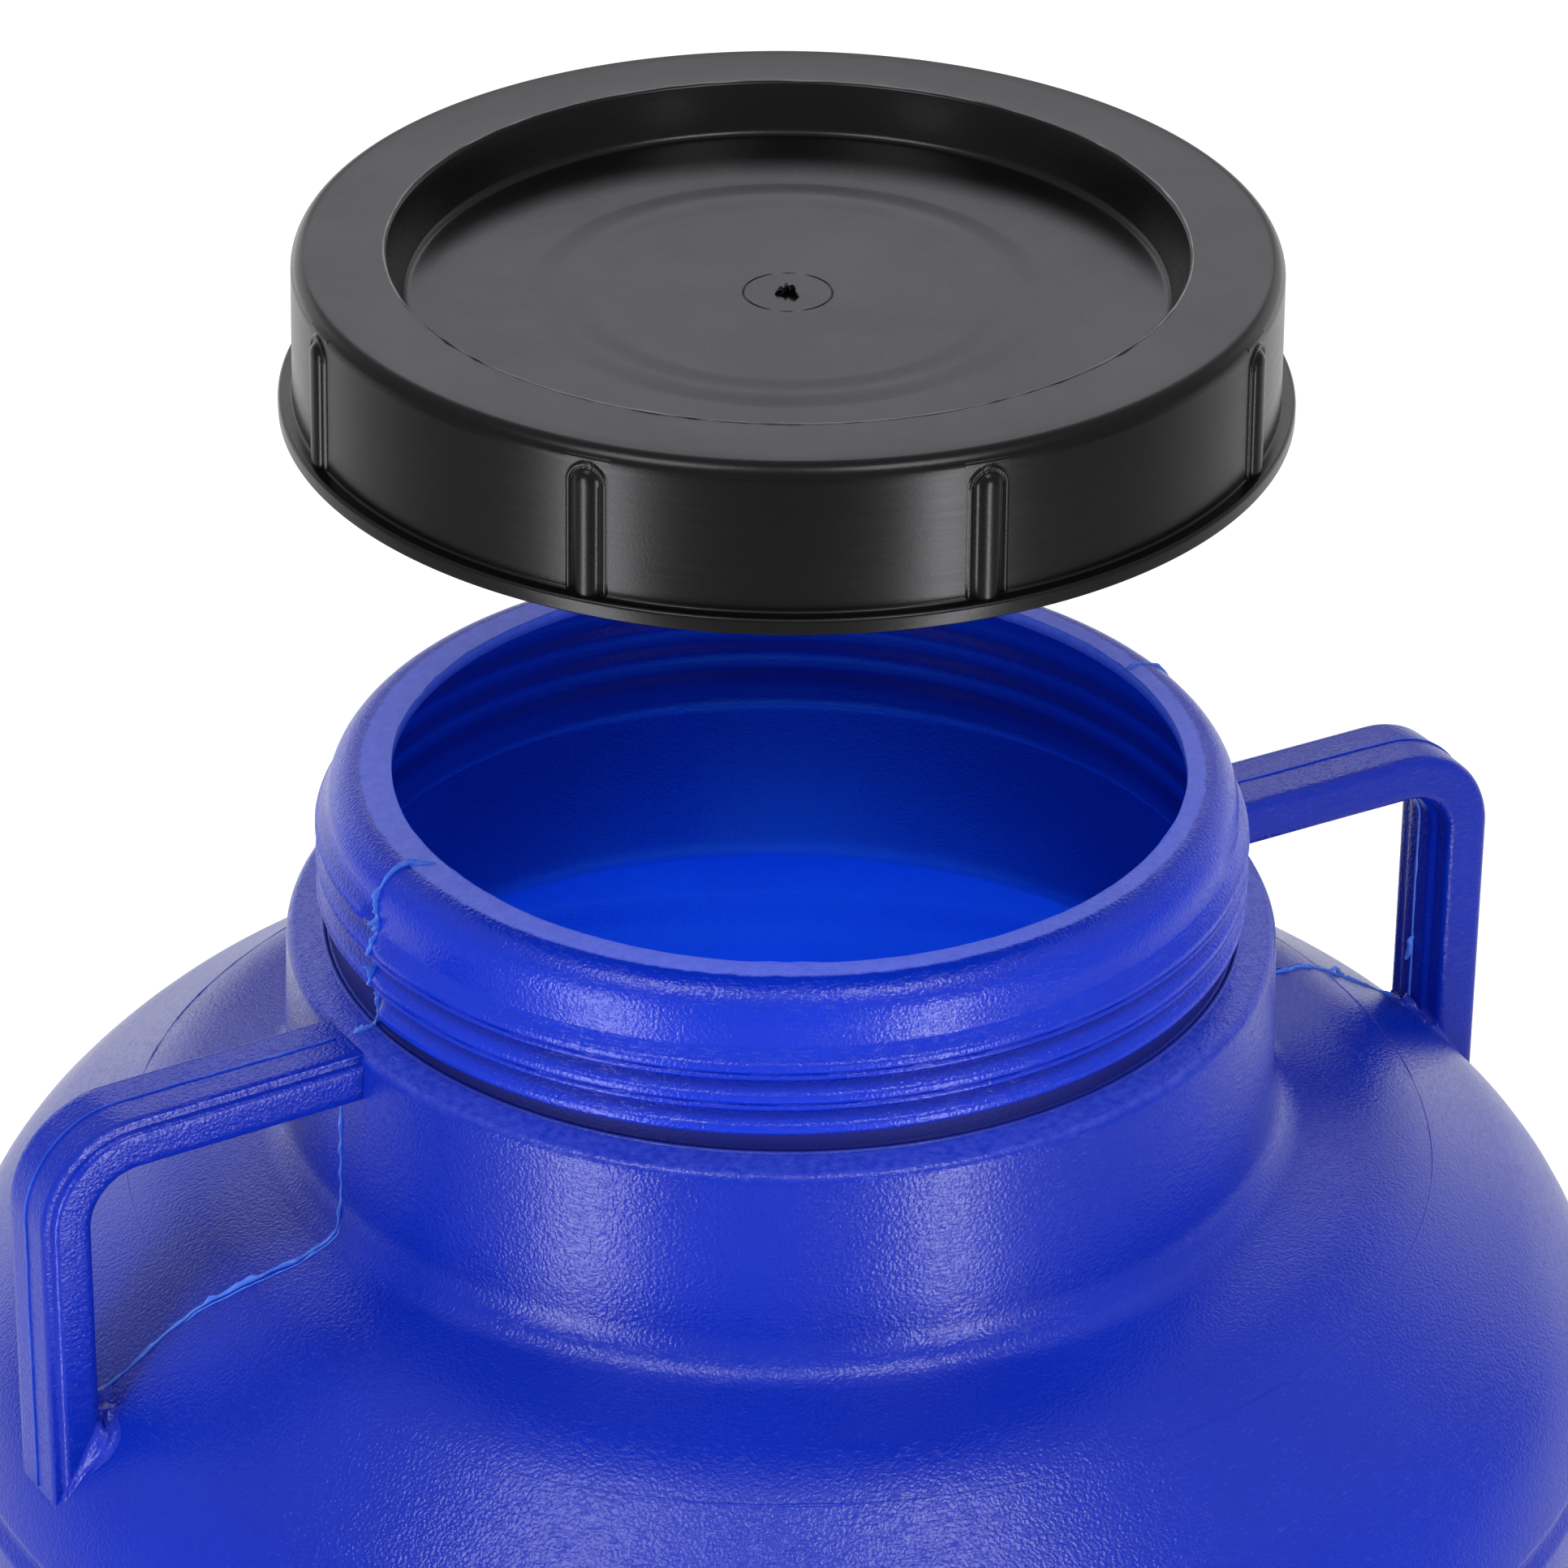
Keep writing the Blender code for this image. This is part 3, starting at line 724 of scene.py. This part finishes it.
def inside_corners():
    w = WALL
    corners = [
        (MOUTH_RADIUS, -w, 0),
        (NECK_RADIUS - w, -w, 0.009 - w),
        (NECK_RADIUS - w, -0.0400 - w, 0.004),
        (COLLAR_RADIUS - w, LEDGE_Z - w - 0.002, 0.005),
        (COLLAR_FOOT_RADIUS - w, COLLAR_FOOT_Z - w, 0.010),
        *shoulder_corners(w),
        *body_grooves(w),
        (BODY_RADIUS - w, w - HEIGHT, 0.028 - w),
        (0.168, w - HEIGHT, 0.006),
        (0.156, BASE_RISE + w - HEIGHT, 0.006),
        (0, BASE_RISE + w - HEIGHT, 0),
    ]
    return corners[::-1]


def raised_to_lip(points):
    return points + np.array((0, HEIGHT))


OUTSIDE = divided(rounded(outside_corners()), COARSE_STEP, FINE_STEP, -0.0430, -0.0075)
OUTSIDE = raised_to_lip(divided(OUTSIDE, COARSE_STEP, 0.0004, -0.0012, 0.0002))
INSIDE = raised_to_lip(divided(rounded(inside_corners()), COARSE_STEP, 0.0008, -0.0460, -0.0060))
SHOULDER = np.array([p for p in OUTSIDE if SHOULDER_FOOT_Z + 0.003 < p[1] - HEIGHT < -0.080])


def shoulder_z(radius):
    """The shoulder's height at a radius, from the lip."""
    return np.interp(radius, SHOULDER[:, 0], SHOULDER[:, 1]) - HEIGHT


def ridge_rise(angle, z, inner=False):
    """How far the neck's thread stands out from the wall, at an angle and a height."""
    swept = ((angle - THREAD_START) / math.tau) % 1.0
    found = np.full(np.broadcast(angle, z).shape, -0.001)
    at_seam = np.exp(-((np.sin(angle) / SEAM_DIP_SPAN) ** 2)) * (np.sin(angle) < 0.0001)
    for turn in range(int(THREAD_TURNS)):
        t = swept + turn
        over = z - (HEIGHT + THREAD_EDGE_Z + PITCH * t)
        if inner:
            height = np.interp(over, *INNER_WAVE.T)
        else:
            front = np.interp(over, *(LOWEST_RIDGE if turn == 0 else RIDGE).T)
            front = front * (1 - SEAM_DIP * at_seam)
            height = np.where(np.sin(angle) > 0, np.interp(over, *BACK_RIDGE.T), front)
        from_end = np.minimum(t, THREAD_TURNS - t) * math.tau
        found = np.maximum(found, height * smooth(0, BLUNT_END, from_end))
    above_low = z > HEIGHT + THREAD_EDGE_Z + PITCH * swept + 0.0002
    return np.where(above_low | inner, np.maximum(found, 0), found)


def barrel_change(r, z, angle):
    """Adds the thread, shifts the lip's opening and lets the body sway a little."""
    outer = np.zeros(r.shape, bool)
    outer[len(INSIDE) - 1 :] = True
    below_lip = z - HEIGHT

    def within(span):
        return (below_lip > span[0]) & (below_lip < span[1])

    neck = outer & within(THREAD_SPAN) & (r < NECK_RADIUS + 0.0001)
    r = r + np.where(neck, ridge_rise(angle, z), 0)
    r = r + np.where(~outer & within(INNER_SPAN), ridge_rise(angle, z, True), 0)
    share = np.clip((MOUTH_RADIUS + CUT_REACH - r) / CUT_REACH, 0, 1)
    r = r + np.where(within(LIP_SPAN), share, 0) * CUT_OFFSET * np.cos(angle - CUT_ANGLE)
    sway = SWAY_TWO * np.sin(2 * angle + 0.7) + SWAY_FIVE * np.sin(5 * angle + 2.1 + 9 * z)
    return r + sway * smooth(*SWAY_FADE, below_lip), z


def profile_path(angle, start, end, drift=((0.1, 0.0), (0.2, 0.0)), step=0.0006):
    """Points down the outer surface near one angle, with their outward normals.

    The drift gives the path's sideways shift, toward growing angles, by radius.
    """
    keep = [p for p in OUTSIDE if end <= p[1] - HEIGHT <= start]
    points = divided(np.array(keep), step)
    radius = points[:, 0] + np.where(
        (points[:, 1] - HEIGHT < -0.006) & (points[:, 0] < NECK_RADIUS + 0.0001),
        ridge_rise(np.full(len(points), angle), points[:, 1]),
        0,
    )
    run = np.stack([radius, points[:, 1]], 1)
    tangent = np.gradient(run, axis=0)
    tangent /= np.linalg.norm(tangent, axis=1)[:, None] + 1e-12
    normal = np.stack([-tangent[:, 1], tangent[:, 0]], 1)
    mouth = MOUTH_RADIUS + CUT_OFFSET * math.cos(angle - CUT_ANGLE)
    run[:, 0] = np.maximum(run[:, 0], mouth)
    apart = np.append(True, np.linalg.norm(np.diff(run, axis=0), axis=1) > 1e-7)
    run, normal = run[apart], normal[apart]
    shift = np.interp(run[:, 0], *np.transpose(drift))
    turned = angle + shift / run[:, 0]
    cos, sin = np.cos(turned), np.sin(turned)
    path = np.stack([run[:, 0] * cos, run[:, 0] * sin, run[:, 1]], 1)
    out = np.stack([normal[:, 0] * cos, normal[:, 0] * sin, normal[:, 1]], 1)
    return path, out


def line_inside(shell, inside):
    """Gives the faces inside the barrel their own duller plastic."""
    shell.data.materials.append(inside)
    index = np.zeros(len(shell.data.polygons), np.int32)
    index[: (len(INSIDE) - 2) * COLUMNS] = 1
    shell.data.polygons.foreach_set("material_index", index)


def mouth_burr(flash):
    """The thin ragged edge that the knife leaves round the opening."""
    angle = full_turn(720)
    path = circle(MOUTH_RADIUS + CUT_OFFSET * np.cos(angle - CUT_ANGLE), angle, HEIGHT)
    out = circle(-0.1, angle, 0.995)
    rng = np.random.default_rng(41)
    rough = 0.00010 + 0.00012 * np.clip(wander(rng, len(angle), 1.0, 7), 0, 1.5)
    return ribbon("mouth_burr", path, out, 0.00030, rough, flash, rng, 0.00008, ring=True)


def witness_ring(blue):
    """The faint line round the shoulder where the mould's inserts meet."""
    radius = 0.160
    angle = full_turn(540)
    path = circle(radius, angle, HEIGHT + shoulder_z(radius))
    slope = (shoulder_z(radius + 0.002) - shoulder_z(radius - 0.002)) / 0.004
    out = circle(-slope, angle, 1.0)
    out /= np.linalg.norm(out, axis=1)[:, None]
    rng = np.random.default_rng(42)
    return ribbon("witness_ring", path, out, 0.0005, 0.00010, blue, rng, 0.00002, ring=True)


def opening_flash(name, angle, flash, rng):
    """The thick pinched flash in a handle's opening: down the collar and out to the leg."""
    drift = SEAM_DRIFT[name]
    path, out = profile_path(angle, -0.0555, -0.1240, drift)
    reach = np.hypot(path[:, 0], path[:, 1])
    width = np.interp(reach, (0.1206, 0.126, 0.150, 0.183), (0.0004, 0.0007, 0.0009, 0.0005))
    height = np.interp(reach, (0.1206, 0.126, 0.160, 0.183), (0.0005, 0.0007, 0.0008, 0.0005))
    pieces = [ribbon(f"flash_opening_{name}", path, out, width, height, flash, rng, 0.00025)]
    beside = [(radius, shift + 0.0014) for radius, shift in drift]
    path, out = profile_path(angle, -0.0900, -0.1080, beside)
    pieces.append(ribbon(f"flash_thin_{name}", path, out, 0.0003, 0.0002, flash, rng, 0.0002))
    if name == "right":
        path, out = profile_path(angle, -0.1060, -0.1105, drift, 0.0004)
        lift = 0.0008 + 0.0006 * np.sin(np.linspace(0, 6, len(path)))
        path = path + out * lift[:, None]
        pieces.append(ribbon("flash_scrap", path, out, 0.0012, 0.0006, flash, rng, 0.0003))
    return pieces


def build_barrel(blue, inside, flash, cut):
    outline = np.concatenate([INSIDE, OUTSIDE])
    shell = spun("barrel_shell", outline, COLUMNS, blue, barrel_change, 60.0)
    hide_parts("barrel_body")
    line_inside(shell, inside)
    pieces = [shell, mouth_burr(cut), witness_ring(blue)]
    for name, angle in (("left", math.pi), ("right", 0.0)):
        rng = np.random.default_rng(21 if name == "left" else 22)
        path, out = profile_path(angle, 0.0001, -0.0420, LIP_DRIFT[name], 0.0005)
        pieces.append(ribbon(f"flash_lip_{name}", path, out, 0.0009, 0.0008, flash, rng, 0.00022))
        pieces += opening_flash(name, angle, flash, rng)
        path, out = profile_path(angle, -0.1660, -0.5900, step=0.0009)
        pieces.append(ribbon(f"flash_body_{name}", path, out, 0.0005, 0.0002, flash, rng, 0.0001))
    return pieces


# --- Handles -----------------------------------------------------------------


def outer_radius_at(z):
    """The barrel's outer radius at a height on the collar, z from the lip."""
    return np.interp(-z, -np.array((LEDGE_Z, COLLAR_FOOT_Z)), (COLLAR_RADIUS, COLLAR_FOOT_RADIUS))


def handle_section(stepped):
    """(y, depth) points round the grip bar's section, from its outer face's middle."""
    face = STEPPED_FACE if stepped else PLAIN_FACE
    half = [*face, *GRIP_BACK]
    other = [(-y, w) for y, w in face[::-1]]
    back = [(-y, w) for y, w in GRIP_BACK[::-1]]
    section = np.array(half + back[1:] + other[:-1]) / 1000
    closed = np.concatenate([section, section[:1]])
    made = []
    for start, end in zip(closed[:-1], closed[1:]):
        count = max(1, math.ceil(np.linalg.norm(end - start) / 0.0016))
        for k in range(count):
            made.append(start + (end - start) * k / count)
    return np.array(made)


def build_web(name, side, material, rng):
    """The skin of plastic pinched round the leg's foot, where the mould halves meet."""
    leg_x = HANDLE_REACH - HANDLE_THICKNESS
    edge = 0.001
    across, along, bends = 30, 14, 12
    inner = np.linspace(HANDLE_HALF - edge, -HANDLE_HALF + edge, across)
    turn = np.linspace(0, math.pi / 2, 8)[1:-1]
    front = np.linspace(leg_x + edge, HANDLE_REACH - 0.0015, along)
    x = np.concatenate([np.full(across, leg_x), leg_x + edge - edge * np.cos(turn), front])
    y = np.concatenate(
        [inner, -HANDLE_HALF + edge - edge * np.sin(turn), np.full(along, -HANDLE_HALF)]
    )
    away = np.stack([
        np.concatenate([-np.ones(across), -np.cos(turn), np.zeros(along)]),
        np.concatenate([np.zeros(across), -np.sin(turn), -np.ones(along)]),
    ], 1)
    travel = np.concatenate([[0], np.cumsum(np.hypot(np.diff(x), np.diff(y)))]) * 1000
    size = np.interp(travel, *np.transpose(WEB_SIZE[name])) / 1000
    size = size * np.exp(wander(rng, len(x), 0.10, 2))
    rings = []
    for k in range(bends + 1):
        bend = math.pi / 2 * k / bends
        out = size * (1 - math.cos(bend)) + 0.0002
        rise = size * 1.15 * (1 - math.sin(bend))
        place = np.stack([x, y], 1) + away * out[:, None]
        ground = shoulder_z(np.hypot(place[:, 0], place[:, 1]))
        ripple = 0.00035 * np.sin(bend * 2) * wander(rng, len(x), 1.0, 1.5)
        high = ground + rise + ripple - 0.0001 * (k == bends)
        rings.append(np.column_stack([place, high]))
    place = np.stack([x, y], 1) - away * 0.0006
    ground = shoulder_z(np.hypot(place[:, 0], place[:, 1]))
    rings.append(np.column_stack([place, ground - 0.0012]))
    rings.append(np.column_stack([place, ground + size * 1.15]))
    rings = np.stack(rings, 1)
    rings[:, :, 2] += HEIGHT
    rings[:, :, 0] *= side
    return tube(f"web_{name}", rings, material, 60.0)


def build_handle(name, side, stepped, blue, flash, seam, skin, rng):
    section = handle_section(stepped)
    y, w = section[:, 0], section[:, 1]
    bend_x = HANDLE_REACH - HANDLE_BEND
    bend_z = HANDLE_TOP_Z - HANDLE_FALL - HANDLE_BEND
    rings = []
    top_rows, bend_rows, leg_rows = 26, 22, 34
    top_z = HANDLE_TOP_Z - w
    collar_x = np.sqrt(outer_radius_at(top_z) ** 2 - y**2) - HANDLE_SINK
    for share in np.arange(top_rows) / top_rows:
        x = collar_x + (bend_x - collar_x) * share
        rings.append(np.stack([x, y, top_z - HANDLE_FALL * share], 1))
    reach = HANDLE_BEND - w
    for k in range(bend_rows):
        turn = math.pi / 2 * k / bend_rows
        x, z = bend_x + reach * math.sin(turn), bend_z + reach * math.cos(turn)
        rings.append(np.stack([x, y, z], 1))
    leg_x = HANDLE_REACH - w
    foot_z = shoulder_z(np.hypot(leg_x, y)) - HANDLE_SINK
    for share in np.arange(leg_rows + 1) / leg_rows:
        rings.append(np.stack([leg_x, y, bend_z + (foot_z - bend_z) * share], 1))
    rings = np.stack(rings)
    rings[:, :, 2] += HEIGHT
    rings[:, :, 0] *= side
    pieces = [tube(f"grip_{name}", rings, blue, 42.0)]
    for where, depth, way, height, plastic in (
        ("grip", 0, 1, 0.0003, seam),
        ("inner", BACK_DEPTH, -1, 0.0006, flash),
    ):
        middle = int(np.argmin(np.hypot(y, w - depth)))
        path = divided(rings[1:-1, middle], 0.0008)
        tangent = np.gradient(path, axis=0)
        tangent /= np.linalg.norm(tangent, axis=1)[:, None]
        out = np.cross((0, side, 0), tangent) * way
        label = f"flash_{where}_{name}"
        pieces.append(ribbon(label, path, out, 0.0005, height, plastic, rng, 0.00018))
    fall = np.linspace(0, 1, NUB_ROWS)
    nub_x = side * (HANDLE_REACH - NUB_DEPTH - 0.0018 * fall**1.5)
    nub = np.column_stack([nub_x, 0.0004 * np.sin(7 * fall), HEIGHT - 0.1020 - 0.0065 * fall])
    out = np.tile((-side, 0.0, 0.0), (NUB_ROWS, 1))
    pieces.append(ribbon(f"nub_{name}", nub, out, 0.0011, 0.0009, flash, rng, 0.0001))
    pieces.append(build_web(name, side, skin, rng))
    return pieces


# --- Lid ---------------------------------------------------------------------


def lid_outline():
    ceiling = LID_HEIGHT - CEILING_SKIN
    corners = [
        (0, RECESS_FLOOR, 0),
        (0.0100, RECESS_FLOOR, 0),
        (0.0103, RECESS_FLOOR - 0.0003, 0),
        (0.0106, RECESS_FLOOR, 0),
        (0.046, RECESS_FLOOR, 0.02),
        (0.053, RECESS_FLOOR + 0.0004, 0.03),
        (0.060, RECESS_FLOOR, 0.02),
        (RECESS_FOOT, RECESS_FLOOR, 0.0022),
        (RIM_INNER, LID_HEIGHT, 0.0010),
        (0.100, LID_HEIGHT, 0),
        (LID_RADIUS, LID_HEIGHT - 0.0002, 0.0040),
        (SKIRT_RADIUS, FLANGE_HEIGHT, 0.0006),
        (FLANGE_RADIUS, FLANGE_HEIGHT - 0.0002, 0.0009),
        (FLANGE_RADIUS, 0, 0.0005),
        (LID_BORE, 0, 0.0004),
        (LID_BORE, ceiling, 0.0019),
        (RIM_INNER + 0.0016, ceiling, 0.0008),
        (RECESS_FOOT + 0.0016, RECESS_FLOOR - DISC_SKIN, 0.0022),
        (0, RECESS_FLOOR - DISC_SKIN, 0),
    ]
    return divided(rounded(corners), 0.0035, 0.0004, 0.003, 0.0265) + np.array((0, LID_Z))


def lid_change(r, z, angle):
    """Adds the lid's thread, turned so that it runs between the neck's ridges."""
    start_z = LID_Z + LID_THREAD_RISE
    above_neck = start_z - PITCH / 2 - HEIGHT - RIDGE_MIDDLE_Z
    start = THREAD_START + math.tau * above_neck / PITCH
    swept = ((angle - start) / math.tau) % 1.0
    rise = np.zeros(r.shape)
    heights = (0, LID_THREAD_HEIGHT, LID_THREAD_HEIGHT, 0)
    for turn in range(2):
        t = swept + turn
        from_end = np.minimum(t, LID_THREAD_TURNS - t) * math.tau
        height = np.interp(z - start_z - PITCH * t, LID_THREAD_ACROSS, heights, 0, 0)
        rise = np.maximum(rise, height * smooth(0, RUNOUT, from_end))
    bore = (np.abs(r - LID_BORE) < 0.0003) & (z < LID_Z + 0.034)
    return np.where(bore, r - rise, r), z


def build_rib(index, black):
    """One grip rib: a half-round bar with a domed top on an arched pad."""
    angle = RIB_START + math.tau * index / RIB_COUNT
    u, v = np.meshgrid(np.linspace(-RIB_HALF, RIB_HALF, 61), np.linspace(RIB_FOOT, RIB_TOP, 96))

    def away_from(half, top):
        """The distance from an upright line that ends at the middle of the round top."""
        return np.where(v > top - half, np.hypot(u, v - (top - half)), np.abs(u))

    pad = PAD_RISE * smooth(0.0005, -0.0002, away_from(PAD_HALF, PAD_TOP) - PAD_HALF)
    bar_away = away_from(BAR_HALF, BAR_TOP) / BAR_HALF
    bar = BAR_RISE * np.sqrt(np.clip(1 - bar_away**2, 0, 1))
    groove = -RIB_GROOVE * np.exp(-(((bar_away - 1.12) / 0.10) ** 2))
    high = np.maximum(pad, bar) + np.where(bar_away > 1.0, groove, 0)
    edge = np.minimum(np.minimum(RIB_HALF - np.abs(u), RIB_TOP - v), 0.002)
    high = high - 0.0006 * smooth(0.0006, 0.0, edge) - 0.00008
    up_skirt = (v - FLANGE_HEIGHT) / (LID_HEIGHT - FLANGE_HEIGHT)
    slope = SKIRT_RADIUS + (LID_RADIUS - SKIRT_RADIUS) * up_skirt
    turn = angle + u / LID_RADIUS

    def placed(radius):
        return np.stack([radius * np.cos(turn), radius * np.sin(turn), v + LID_Z], -1)

    return slab(f"lid_rib_{index + 1}", placed(slope + high), placed(slope - 0.0012), black)


def build_gate_mark(black, rng):
    """The ragged stub at the disc's middle, where the plastic came in."""
    count = 72
    ring = np.arange(count) * math.tau / count
    reach = np.clip(0.0008 + 0.0024 * np.abs(wander(rng, count, 0.6, 0.9)), 0.0006, 0.0036)
    rings = []
    for share, high in (
        (1.0, -0.0004), (1.0, 0.0003), (0.75, 0.0008), (0.45, 0.0005), (0.2, 0.0012),
    ):
        wave = high + (np.abs(wander(rng, count, 0.00035, 1.6)) if high > 0.0003 else 0)
        rings.append(circle(reach * share, ring, LID_Z + RECESS_FLOOR + wave))
    return tube("gate_mark", np.stack(rings), black, 30.0)


def build_lid_burr(burr, rng):
    """The thin burr between the lid's top and its recess, pale grey as a painted highlight on that
    edge.
    """
    angle = full_turn(720)
    path = circle(RIM_INNER + 0.0006, angle, LID_Z + LID_HEIGHT)
    up = np.tile((0.0, 0.0, 1.0), (len(angle), 1))
    return ribbon("lid_burr", path, up, 0.00035, 0.0002, burr, rng, 0.00005, ring=True)


def build_gasket(rubber):
    """The flat ring just under the ceiling of the lid's channel."""
    top = LID_Z + LID_HEIGHT - CEILING_SKIN - 0.0003
    middle = (RING_INNER + RING_OUTER) / 2
    corners = [
        (middle, top, 0),
        (RING_OUTER, top, 0.0003),
        (RING_OUTER, top - RING_HEIGHT, 0.0003),
        (RING_INNER, top - RING_HEIGHT, 0.0003),
        (RING_INNER, top, 0.0003),
        (middle, top, 0),
    ]
    return looped("sealing_ring", divided(rounded(corners), 0.0014)[:-1], 240, rubber)


def build_lid(black, burr):
    lid = spun("lid_shell", lid_outline(), LID_COLUMNS, black, lid_change, 40.0)
    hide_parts("screw_lid")
    rng = np.random.default_rng(5)
    ribs = [build_rib(index, black) for index in range(RIB_COUNT)]
    return [lid, *ribs, build_gate_mark(black, rng), build_lid_burr(burr, rng)]


# --- Stage -------------------------------------------------------------------


def build_stage():
    """A pale floor that looks white, most of all behind the object and far away."""
    half = 30.0
    corners = [(-half, -half, 0), (half, -half, 0), (half, half, 0), (-half, half, 0)]
    material = bpy.data.materials.new("pale_floor")
    material.use_nodes = True
    tree = material.node_tree
    shader = tree.nodes["Principled BSDF"]
    shader.inputs["Base Color"].default_value = (0.52, 0.52, 0.53, 1)
    shader.inputs["Roughness"].default_value = 0.9
    shader.inputs["Specular IOR Level"].default_value = 0.1
    place = tree.nodes.new("ShaderNodeTexCoord").outputs["Object"]
    away = math.radians(CAMERA_SIDE + 180)
    behind, distance = (tree.nodes.new("ShaderNodeVectorMath") for _ in range(2))
    behind.operation, distance.operation = "DOT_PRODUCT", "LENGTH"
    behind.inputs[1].default_value = (math.cos(away), math.sin(away), 0)
    for node in (behind, distance):
        tree.links.new(place, node.inputs[0])
    mirrored = map_range(tree, behind.outputs["Value"], *FLOOR_MIRRORED)
    seen = white_where_seen(tree, mirrored)
    glow = map_range(tree, distance.outputs["Value"], *FLOOR_GLOW)
    strength = math_node(tree, "MULTIPLY", seen, glow)
    shader.inputs["Emission Color"].default_value = (1, 1, 1, 1)
    tree.links.new(strength, shader.inputs["Emission Strength"])
    floor = new_object("floor", corners, [(0, 1, 2, 3)], material)


def area_lamp(name, place, target, size, power, colour):
    lamp = bpy.data.lights.new(name, "AREA")
    lamp.shape = "RECTANGLE"
    lamp.size, lamp.size_y = size
    lamp.energy = power
    lamp.color = colour
    obj = bpy.data.objects.new(name, lamp)
    obj.location = place
    look = Vector(target) - Vector(place)
    obj.rotation_euler = look.to_track_quat("-Z", "Y").to_euler()
    obj.visible_camera = False
    bpy.context.scene.collection.objects.link(obj)
    return obj


def around(angle_deg, distance, height):
    """A place seen from the barrel's axis, at an angle from the camera's direction."""
    angle = math.radians(CAMERA_SIDE + angle_deg)
    return (distance * math.cos(angle), distance * math.sin(angle), height)


def build_lights():
    world = bpy.data.worlds.new("white_room")
    bpy.context.scene.world = world
    world.use_nodes = True
    tree = world.node_tree
    seen = white_where_seen(tree, WORLD_MIRRORED)
    strength = map_range(tree, seen, 0.0, 1.0, WORLD_LIGHT, 1.0)
    back = tree.nodes["Background"]
    back.inputs["Color"].default_value = (1, 1, 1, 1)
    tree.links.new(strength, back.inputs["Strength"])
    for name, angle, distance, height, aim, size, power, colour in SOFTBOXES:
        place = around(angle, distance, height)
        lamp = area_lamp(f"{name}_softbox", place, (0, 0, aim), size, power, colour)
        lamp.visible_glossy = not name.endswith("_side")
    place, target = around(0, 0.13, 0.42), around(180, 0.20, 0.43)
    inner = area_lamp("inner_glow", place, target, (0.14, 0.06), 0.12, INNER_LIGHT)
    inner.data.spread = math.radians(55)
    place, target = (0, 0, 0.28), (0, 0, 0.60)
    fill = area_lamp("inner_fill", place, target, (0.22, 0.22), 0.62, INNER_LIGHT)
    for lamp in (inner, fill):
        lamp.visible_glossy = False


def build_camera():
    el, az = CAMERA_ELEVATION, CAMERA_AZIMUTH
    back = Vector((math.sin(az) * math.cos(el), -math.cos(az) * math.cos(el), math.sin(el)))
    look = -back
    right = look.cross(Vector((0, 0, 1))).normalized()
    up = right.cross(look)
    lip = Vector((0, 0, HEIGHT))
    place = lip + back * CAMERA_DISTANCE
    target = lip - up * AIM_DOWN + right * AIM_RIGHT
    camera = bpy.data.cameras.new("camera")
    camera.lens = CAMERA_LENS
    camera.sensor_width = 36
    camera.clip_end = 200
    obj = bpy.data.objects.new("camera", camera)
    bpy.context.scene.collection.objects.link(obj)
    obj.location = place
    turn = (target - place).to_track_quat("-Z", "Y") @ Quaternion((0, 0, 1), CAMERA_ROLL)
    obj.rotation_euler = turn.to_euler()
    bpy.context.scene.camera = obj


def main():
    blue = blue_plastic("blue_shell", SHELL_BLUES, 0.23)
    # The neck's plastic, carrying its painted light and shade
    painted_neck_light = blue_plastic("blue_neck_painted_light", SHELL_BLUES, 0.23, painted_neck_light=True)
    inside = blue_plastic("blue_inside", SHELL_BLUES, 0.40, 0.12)
    bright = blue_plastic("blue_flash", FLASH_BLUES, 0.36)
    seam = blue_plastic("blue_seam", SEAM_BLUES, 0.30)
    # The knife burr's pale cut plastic, partly brightened as painted light
    cut = blue_plastic("blue_cut_and_painted_light", BURR_AND_PAINTED_LIGHT_BLUES, 0.45)
    skin = blue_plastic("blue_skin", SKIN_BLUES, 0.26)
    black = black_plastic("black_lid", LID_BLACKS)
    # Painted highlight: pale grey for the lid's burr ring
    burr = black_plastic("black_burr_highlight", LID_BURR_HIGHLIGHT_GREYS)
    on_barrel = build_barrel(painted_neck_light, inside, bright, cut)
    for name, side, stepped, seed in (("right", 1, False, 31), ("left", -1, True, 32)):
        rng = np.random.default_rng(seed)
        made = build_handle(name, side, stepped, blue, bright, seam, skin, rng)
        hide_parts(f"handle_{name}")
        on_barrel += made
    on_lid = build_lid(black, burr)
    gasket = build_gasket(rubber_material("seal_ring"))
    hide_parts("lid_gasket")
    for piece in on_barrel:
        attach(piece, "barrel")
    for piece in on_lid:
        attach(piece, "lid")
    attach(gasket, "gasket")
    build_stage()
    build_lights()
    build_camera()
    bpy.context.scene.view_settings.view_transform = "Standard"


main()
